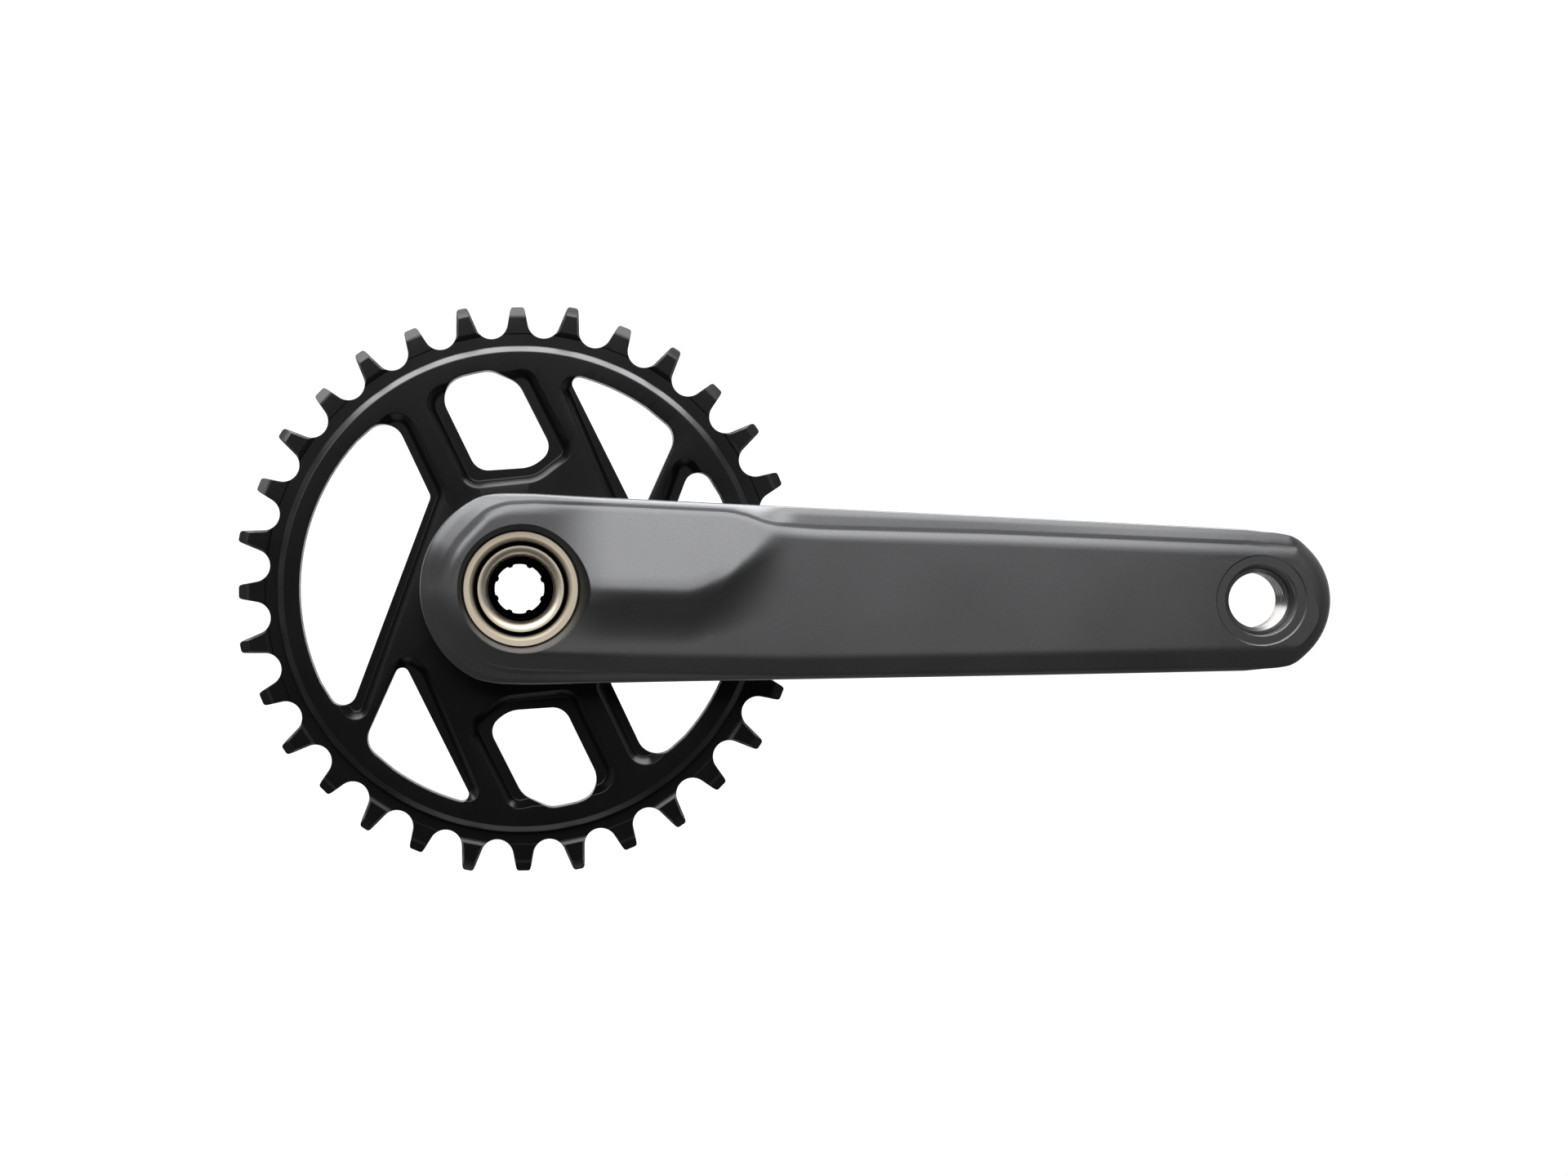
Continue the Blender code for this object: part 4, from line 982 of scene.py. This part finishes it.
# How the tips are rounded off, as (radius, height over the teeth's middle plane).
THIN_BEVEL = ((64.8, 1.32), (65.5, 1.15), (66.2, 0.95), (67.0, 0.70), (67.7, 0.47), (68.3, 0.27),
              (69.4, 0.12), (73, 0.1))
WIDE_BEVEL = ((66.4, 1.85), (67.0, 1.68), (67.6, 1.42), (68.2, 1.1), (68.8, 0.75), (69.4, 0.35), (73, 0.3))


class RingShape:
    """The teeth of the ring: odd ones are wide, for the outer links of a chain, and even ones thin."""

    seat, seat_angle, first_angle = 3.94, 76, 91.5
    half, thin = 1.75, 0.95
    edge, margin = 0.22, 0.12

    def __init__(self):
        ring = settings().ring
        self.teeth = ring.teeth
        self.line = ring.chain_line
        self.pitch_radius = ring.pitch / (2 * sin(pi / ring.teeth))

    def axes(self, tooth):
        """The outward and the sideways direction at a tooth, or between two at a half."""
        angle = radians(self.first_angle) + 2 * pi * tooth / self.teeth
        return Vector((cos(angle), 0, sin(angle))), Vector((-sin(angle), 0, cos(angle)))

    def outline(self):
        """Roller seats joined by the flanks and tips of the teeth."""
        points = []

        def add(tooth, radius, across):
            radial, sideways = self.axes(tooth)
            place = radial * radius + sideways * across
            points.append((place.x, place.z))

        for tooth in range(self.teeth):
            tip = SLIM_TIP if tooth % 2 else BLUNT_TIP
            for radius, across in tip:
                add(tooth, radius, -across)
            for radius, across in reversed(tip):
                add(tooth, radius, across)
            for k in range(15):
                turn = radians(self.seat_angle * (k / 7 - 1))
                add(tooth + 0.5, self.pitch_radius - self.seat * cos(turn), self.seat * sin(turn))
        return points

    def blank(self):
        """The thin plate that all teeth share, with eased edges."""
        front, back = -(self.line + self.thin), -(self.line - self.thin)
        return Skin(self.outline()).rings([(self.edge, front), (0.06, front + 0.06), (0, front + self.edge),
                                           (0, back - self.edge), (0.06, back - 0.06), (self.edge, back)])

    def tip_bevel(self, face, wide):
        """A ring that rounds off the tips of wide or thin teeth, on the front (-1) or the back (1)."""
        bevel = WIDE_BEVEL if wide else THIN_BEVEL
        profile = [*bevel, (bevel[-1][0], 4), (bevel[0][0], 4)]
        return moved(spun([(radius, face * high) for radius, high in profile], 256), (0, -self.line, 0))

    def pad(self, tooth, face):
        """What a tooth stands proud of the plate: much on a wide tooth, with bevelled flanks, else a hair."""
        if tooth % 2:
            rise, bevel, tip = self.half - self.thin, 0.45, SLIM_PAD
        else:
            rise, bevel, tip = 0.18, 0.1, BLUNT_PAD
        flank = [(PAD_FOOT, PAD_FOOT_WIDTH), *PAD_SIDE, *tip]
        crown = PAD_FOOT + rise * 1.55
        right = [(half - self.margin, radius) for radius, half in flank]
        skin = Skin(right + [(-x, radius) for x, radius in reversed(right)])
        skin.ring(0, self.thin - 0.4).cap()
        skin.ring(0, self.thin - 0.02)
        skin.ring(0, self.thin + rise)
        for vert in skin.verts:
            vert.co.z = max(vert.co.z, crown)
            across = abs(vert.co.x) - bevel
            if vert[skin.home].z < crown:
                foot = along([(PAD_FOOT, PAD_FOOT_WIDTH), (62.2, 3.16), PAD_SIDE[0]], crown)
                across = foot - self.margin - bevel
            vert.co.x = across if vert.co.x > 0 else -across
        skin.cap()
        radial, sideways = self.axes(tooth)
        for vert in skin.bm.verts:
            x, y, z = vert.co
            vert.co = sideways * x + radial * z + Vector((0, face * y - self.line, 0))
        return skin.bm

    def raised(self, wide):
        """The pads and bevels of the odd, wide teeth (1) or of the even, thin ones (0), on both faces."""
        pads = joined([self.pad(tooth, face) for tooth in range(wide, self.teeth, 2) for face in (-1, 1)])
        return (pads, JOIN), (self.tip_bevel(-1, wide), CUT), (self.tip_bevel(1, wide), CUT)


class CRANKSET_OT_chainring(bpy.types.Operator):
    """Build the ring: narrow and wide teeth, a raised disc and six stepped windows"""
    bl_idname = "crankset.chainring"
    bl_label = "Chainring"

    def execute(self, context):
        shape = RingShape()
        ring = as_object("chainring_plate", shape.blank())
        wall, brim = 58.7, 57.28
        disc = turned([(0, DISC_BACK), (wall - 0.25, DISC_BACK), (wall, DISC_BACK + 0.25), (wall, 57.6),
                       (wall - 0.08, 57.76), (brim, DISC_FRONT - 0.1), (brim - 0.16, DISC_FRONT - 0.03),
                       (brim - 0.33, DISC_FRONT), (0, DISC_FRONT)], RIGHT, 256)
        through = [(-0.6, -DISC_FRONT - 0.6), (-0.2, -DISC_FRONT), (-0.06, -DISC_FRONT + 0.06),
                   (0.0, -DISC_FRONT + 0.2), (0.0, -DISC_BACK - 0.28), (-0.28, -DISC_BACK),
                   (-0.5, -DISC_BACK + 0.5)]
        sunk = [(-1.2, -DISC_FRONT - 0.7), (-0.4, -DISC_FRONT), (-0.25, -DISC_FRONT + 0.05),
                (-0.12, -DISC_FRONT + 0.18), (-0.05, -DISC_FRONT + 0.35), (1.2, -LEDGE - 0.5),
                (1.32, -LEDGE - 0.28), (1.5, -LEDGE - 0.1), (1.75, -LEDGE)]
        holes, pockets = [], []
        for half in (0, 1):
            turn = Matrix.Rotation(pi * half, 3, "Y")
            for hole, pocket in windows():
                holes.append(moved(Skin(fillet(hole)).rings(through), turn=turn))
                pockets.append(moved(Skin(fillet(pocket)).rings(sunk), turn=turn))
        fit = 20.35
        bore = turned([(0, 64), (fit, 64), (fit, 50), (0, 50)], RIGHT)
        carve(ring, *shape.raised(0), *shape.raised(1), (disc, JOIN), (bore, CUT), (joined(pockets), CUT),
              (joined(holes), CUT))
        dress(ring, ring_black(), "ring_black", "crank", "chainring")
        return {"FINISHED"}


def notch_cut(count, radius, notch, start, end, side):
    """Round spanner notches about the axle."""
    tools = []
    for k in range(count):
        angle = 2 * pi * k / count
        pin = spun([(0, side * start), (notch, side * start), (notch, side * end), (0, side * end)], 24)
        tools.append(moved(pin, (radius * cos(angle), 0, radius * sin(angle))))
    return joined(tools)


class CRANKSET_OT_lock_ring(bpy.types.Operator):
    """Build the notched ring that holds the chainring on its splines"""
    bl_idname = "crankset.lock_ring"
    bl_label = "Lock ring"

    def execute(self, context):
        profile = [(19.5, 52.95), (25.5, 52.95), (25.5, 51.75), (24.0, 51.05), (19.5, 51.05)]
        ring = as_object("lock_ring", turned(eased(profile, 0.2), RIGHT))
        carve(ring, (notch_cut(16, 26.3, 1.9, 55, 49, RIGHT), CUT))
        dress(ring, cup_black(), "cup_black", "crank", "chainring_lock_ring")
        return {"FINISHED"}


class CRANKSET_OT_bottom_bracket(bpy.types.Operator):
    """Build the cups, bearings, covers, spacer and sleeve of the bottom bracket"""
    bl_idname = "crankset.bottom_bracket"
    bl_label = "Bottom bracket"

    def side_pieces(self, word, side, shell):
        """One side: a cup whose flange meets a face at a distance out, and the bearing in it."""
        outer = shell + 10.5
        near = outer - 7.4
        far, middle = near + 7.0, near + 3.5
        thread, pitch = [(17.4, shell)], 1.058
        way = shell - 0.8
        while way > shell - 13.2:
            thread += [(17.0, way - 0.3), (17.4, way - 0.8)]
            way -= pitch
        cup = [(14.4, near - 0.3), (14.4, shell - 8), (15.9, shell - 8), (15.9, shell - 14),
               (17.4, shell - 14), *reversed(thread), (22, shell), (22, outer - 2), (20, outer),
               (18.8, outer), (18.8, near - 0.3)]
        piece = as_object(f"{word}_cup_shell", turned(eased(cup, 0.12, 2), side))
        carve(piece, (notch_cut(16, 22.8, 2.0, shell + 3.5, outer + 2, side), CUT))
        dress(piece, cup_black(), "cup_black", "bottom_bracket", f"{word}_cup")
        pieces = (
            ("bearing_inner_race", [(13.1, far), (14.9, far), (14.9, middle + 1.4), (14.0, middle + 0.7),
                                    (13.9, middle), (14.0, middle - 0.7), (14.9, middle - 1.4), (14.9, near),
                                    (13.1, near)], ground_steel(), "bearing_steel", "crank"),
            ("bearing_outer_race", [(18.5, far), (18.5, near), (16.4, near), (16.4, middle - 1.4),
                                    (17.35, middle - 0.7), (17.45, middle), (17.35, middle + 0.7),
                                    (16.4, middle + 1.4), (16.4, far)], ground_steel(), "bearing_steel",
             "bottom_bracket"),
            ("bearing_seal", [(16.1, far), (16.1, far - 0.8), (15.2, far - 0.8), (15.2, far)], dull_rubber(),
             "seal_rubber", "bottom_bracket"),
            ("bearing_cover", [(AXLE_FIT, outer + 1.0), (17.6, outer + 1.0), (17.6, outer + 0.3),
                               (12.8, outer + 0.3), (12.8, near), (AXLE_FIT, near)],
             moulded_black(), "cap_plastic", "crank"),
            ("sleeve_o_ring", [(14.95 + 0.65 * cos(pi * k / 8), shell - 11 + 0.65 * sin(pi * k / 8))
                               for k in range(16)], dull_rubber(), "seal_rubber", "bottom_bracket"),
        )
        for name, profile, finish, slot, body in pieces:
            soft = profile if name == "sleeve_o_ring" else eased(profile, 0.1, 2)
            skin = as_object(f"{word}_{name}_skin", turned(soft, side, 96))
            dress(skin, finish, slot, body, f"{word}_{name}")
        balls = bmesh.new()
        count, track = 12, 15.65
        for k in range(count):
            angle = 2 * pi * k / count
            place = Matrix.Translation((track * cos(angle), side * middle, track * sin(angle)))
            bmesh.ops.create_uvsphere(balls, u_segments=20, v_segments=12, radius=1.5, matrix=place)
        low, high, inside, outside = middle - 0.4, middle + 0.4, track - 0.5, track + 0.5
        retainer = turned([(inside, low), (outside, low), (outside, high), (inside, high)], side, 96)
        skin = as_object(f"{word}_balls", joined([balls, retainer]))
        dress(skin, ground_steel(), "bearing_steel", f"{word}_balls", f"{word}_ball_set")

    def execute(self, context):
        shell, spaced = 36.5, 39.3
        self.side_pieces("right", RIGHT, spaced)
        self.side_pieces("left", LEFT, shell)
        spacer = turned(eased([(17.7, shell), (17.7, 39.0), (20.5, 39.0), (20.5, shell)], 0.2), RIGHT)
        dress(as_object("spacer_ring", spacer), moulded_black(), "cap_plastic", "bottom_bracket",
              "drive_side_spacer")
        inside, floor, outside = 13.3, 14.0, 15.3
        profile = [(inside, -30.8), (outside, -30.8)]
        for groove in (-28.3, 25.5):
            low, high = groove - 1, groove + 1
            profile += [(outside, low), (floor, low), (floor, high), (outside, high)]
        profile += [(outside, 28.0), (inside, 28.0)]
        dress(as_object("sleeve_tube", spun(eased(profile, 0.15, 2), 96)), moulded_black(), "cap_plastic",
              "bottom_bracket", "inner_sleeve")
        return {"FINISHED"}


class CRANKSET_OT_stage(bpy.types.Operator):
    """Set the floor, the white surroundings, the lamps and the camera"""
    bl_idname = "crankset.stage"
    bl_label = "Studio"

    def execute(self, context):
        studio = settings().studio
        half_width, depth = 1400, 3000
        bm = bmesh.new()
        bmesh.ops.create_grid(bm, x_segments=2, y_segments=2, size=half_width)
        floor = as_object("studio_floor", moved(bm, (0, 0, -depth)))
        pale = new_finish("pale_floor")
        pale.surface(Base_Color=(*studio.floor, 1), Roughness=0.9)
        camera_ray = pale.node("ShaderNodeLightPath")
        white = pale.node("ShaderNodeEmission", None, {"Color": (1, 1, 1, 1), "Strength": 1.0})
        plain = Tint(pale, pale.tree.nodes["Principled BSDF"].outputs[0])
        seen = pale.node("ShaderNodeMixShader", None, {0: camera_ray, 1: plain, 2: white})
        pale.plug(pale.tree.nodes["Material Output"], {"Surface": seen})
        floor.data.materials.append(pale.owner)
        self.world(context)
        self.lamps(studio)
        self.camera(context, studio)
        context.scene.view_settings.view_transform = "Standard"
        return {"FINISHED"}

    def world(self, context):
        """White for the camera and straight behind the object, a dim room everywhere else."""
        world = bpy.data.worlds.new("studio_room")
        context.scene.world = world
        room = Finish(world)
        axes = room.node("ShaderNodeSeparateXYZ", None, {0: room.node("ShaderNodeTexCoord")})
        back = Tint(room, axes.socket.node.outputs[1])
        high = Tint(room, axes.socket.node.outputs[2])
        around = room.run(back, -0.9, -0.2, 0.045, 0.20) * room.run(high, -0.65, 0.05, 0.42, 1.0)
        behind = room.run(back, 0.35, 0.95, 0.0, 1.0) * room.run(high, -0.45, -0.05, 0.42, 1.0)
        light, camera_ray = around + behind, room.node("ShaderNodeLightPath")
        strength = light.maths("MAXIMUM", light, camera_ray)
        room.plug(world.node_tree.nodes["Background"], {"Color": (1, 1, 1, 1), "Strength": strength})

    def lamps(self, studio):
        """A softbox above the camera whose lower edge the flat faces just miss, and a panel overhead."""
        aim = Vector((0, -0.07, 0))
        for name, rise, distance, aside, size, power in (
                ("softbox", radians(40), 1.2, -0.24, (1.7, 1.1), studio.softbox),
                ("top_panel", radians(101), 1.0, 0.0, (1.8, 0.8), studio.top_panel)):
            lamp = bpy.data.lights.new(name, "AREA")
            lamp.shape = "RECTANGLE"
            lamp.size, lamp.size_y = size
            lamp.energy = power
            made = bpy.data.objects.new(name, lamp)
            made.location = aim + Vector((0, -cos(rise), sin(rise))) * distance + Vector((aside, 0, 0))
            made.rotation_euler = (aim - made.location).to_track_quat("-Z", "Y").to_euler()
            bpy.context.scene.collection.objects.link(made)

    def camera(self, context, studio):
        camera = bpy.data.cameras.new("camera")
        camera.lens = studio.lens
        camera.sensor_fit = "HORIZONTAL"
        camera.sensor_width = 36
        camera.shift_x = studio.shift
        camera.clip_start = 0.01
        eye = bpy.data.objects.new("camera", camera)
        context.scene.collection.objects.link(eye)
        look = Matrix.Rotation(pi / 2, 4, "X") @ Matrix.Rotation(studio.roll, 4, "Z")
        aside, up = -1.5, 0.2
        place = Vector((aside, -studio.distance, up)) * MM
        eye.matrix_world = Matrix.Translation(place) @ look
        context.scene.camera = eye


OPERATORS = (CRANKSET_OT_stage, CRANKSET_OT_right_arm, CRANKSET_OT_left_arm, CRANKSET_OT_axle,
             CRANKSET_OT_fixing_cap, CRANKSET_OT_pinch_bolts, CRANKSET_OT_stopper, CRANKSET_OT_chainring,
             CRANKSET_OT_lock_ring, CRANKSET_OT_bottom_bracket)


class CRANKSET_PG_settings(bpy.types.PropertyGroup):
    arms: PointerProperty(type=CRANKSET_PG_arms)
    ring: PointerProperty(type=CRANKSET_PG_ring)
    axle: PointerProperty(type=CRANKSET_PG_axle)
    bracket: PointerProperty(type=CRANKSET_PG_bracket)
    studio: PointerProperty(type=CRANKSET_PG_studio)


class CRANKSET_PT_panel(bpy.types.Panel):
    """Sizes, finishes and the pieces to build"""
    bl_idname = "CRANKSET_PT_panel"
    bl_label = "Crankset"
    bl_space_type = "VIEW_3D"
    bl_region_type = "UI"
    bl_category = "Crankset"

    def draw(self, context):
        for key, group in GROUPS.items():
            box = self.layout.box()
            box.label(text=key.capitalize())
            for name in group.__annotations__:
                box.prop(getattr(context.scene.crankset, key), name)
        for operator in OPERATORS:
            self.layout.operator(operator.bl_idname)


CLASSES = (*GROUPS.values(), CRANKSET_PG_settings, *OPERATORS, CRANKSET_PT_panel)


def register():
    for cls in CLASSES:
        bpy.utils.register_class(cls)
    bpy.types.Scene.crankset = PointerProperty(type=CRANKSET_PG_settings)


def unregister():
    del bpy.types.Scene.crankset
    for cls in reversed(CLASSES):
        bpy.utils.unregister_class(cls)


def main():
    register()
    for operator in OPERATORS:
        family, name = operator.bl_idname.split(".")
        getattr(getattr(bpy.ops, family), name)()


if __name__ == "__main__":
    main()
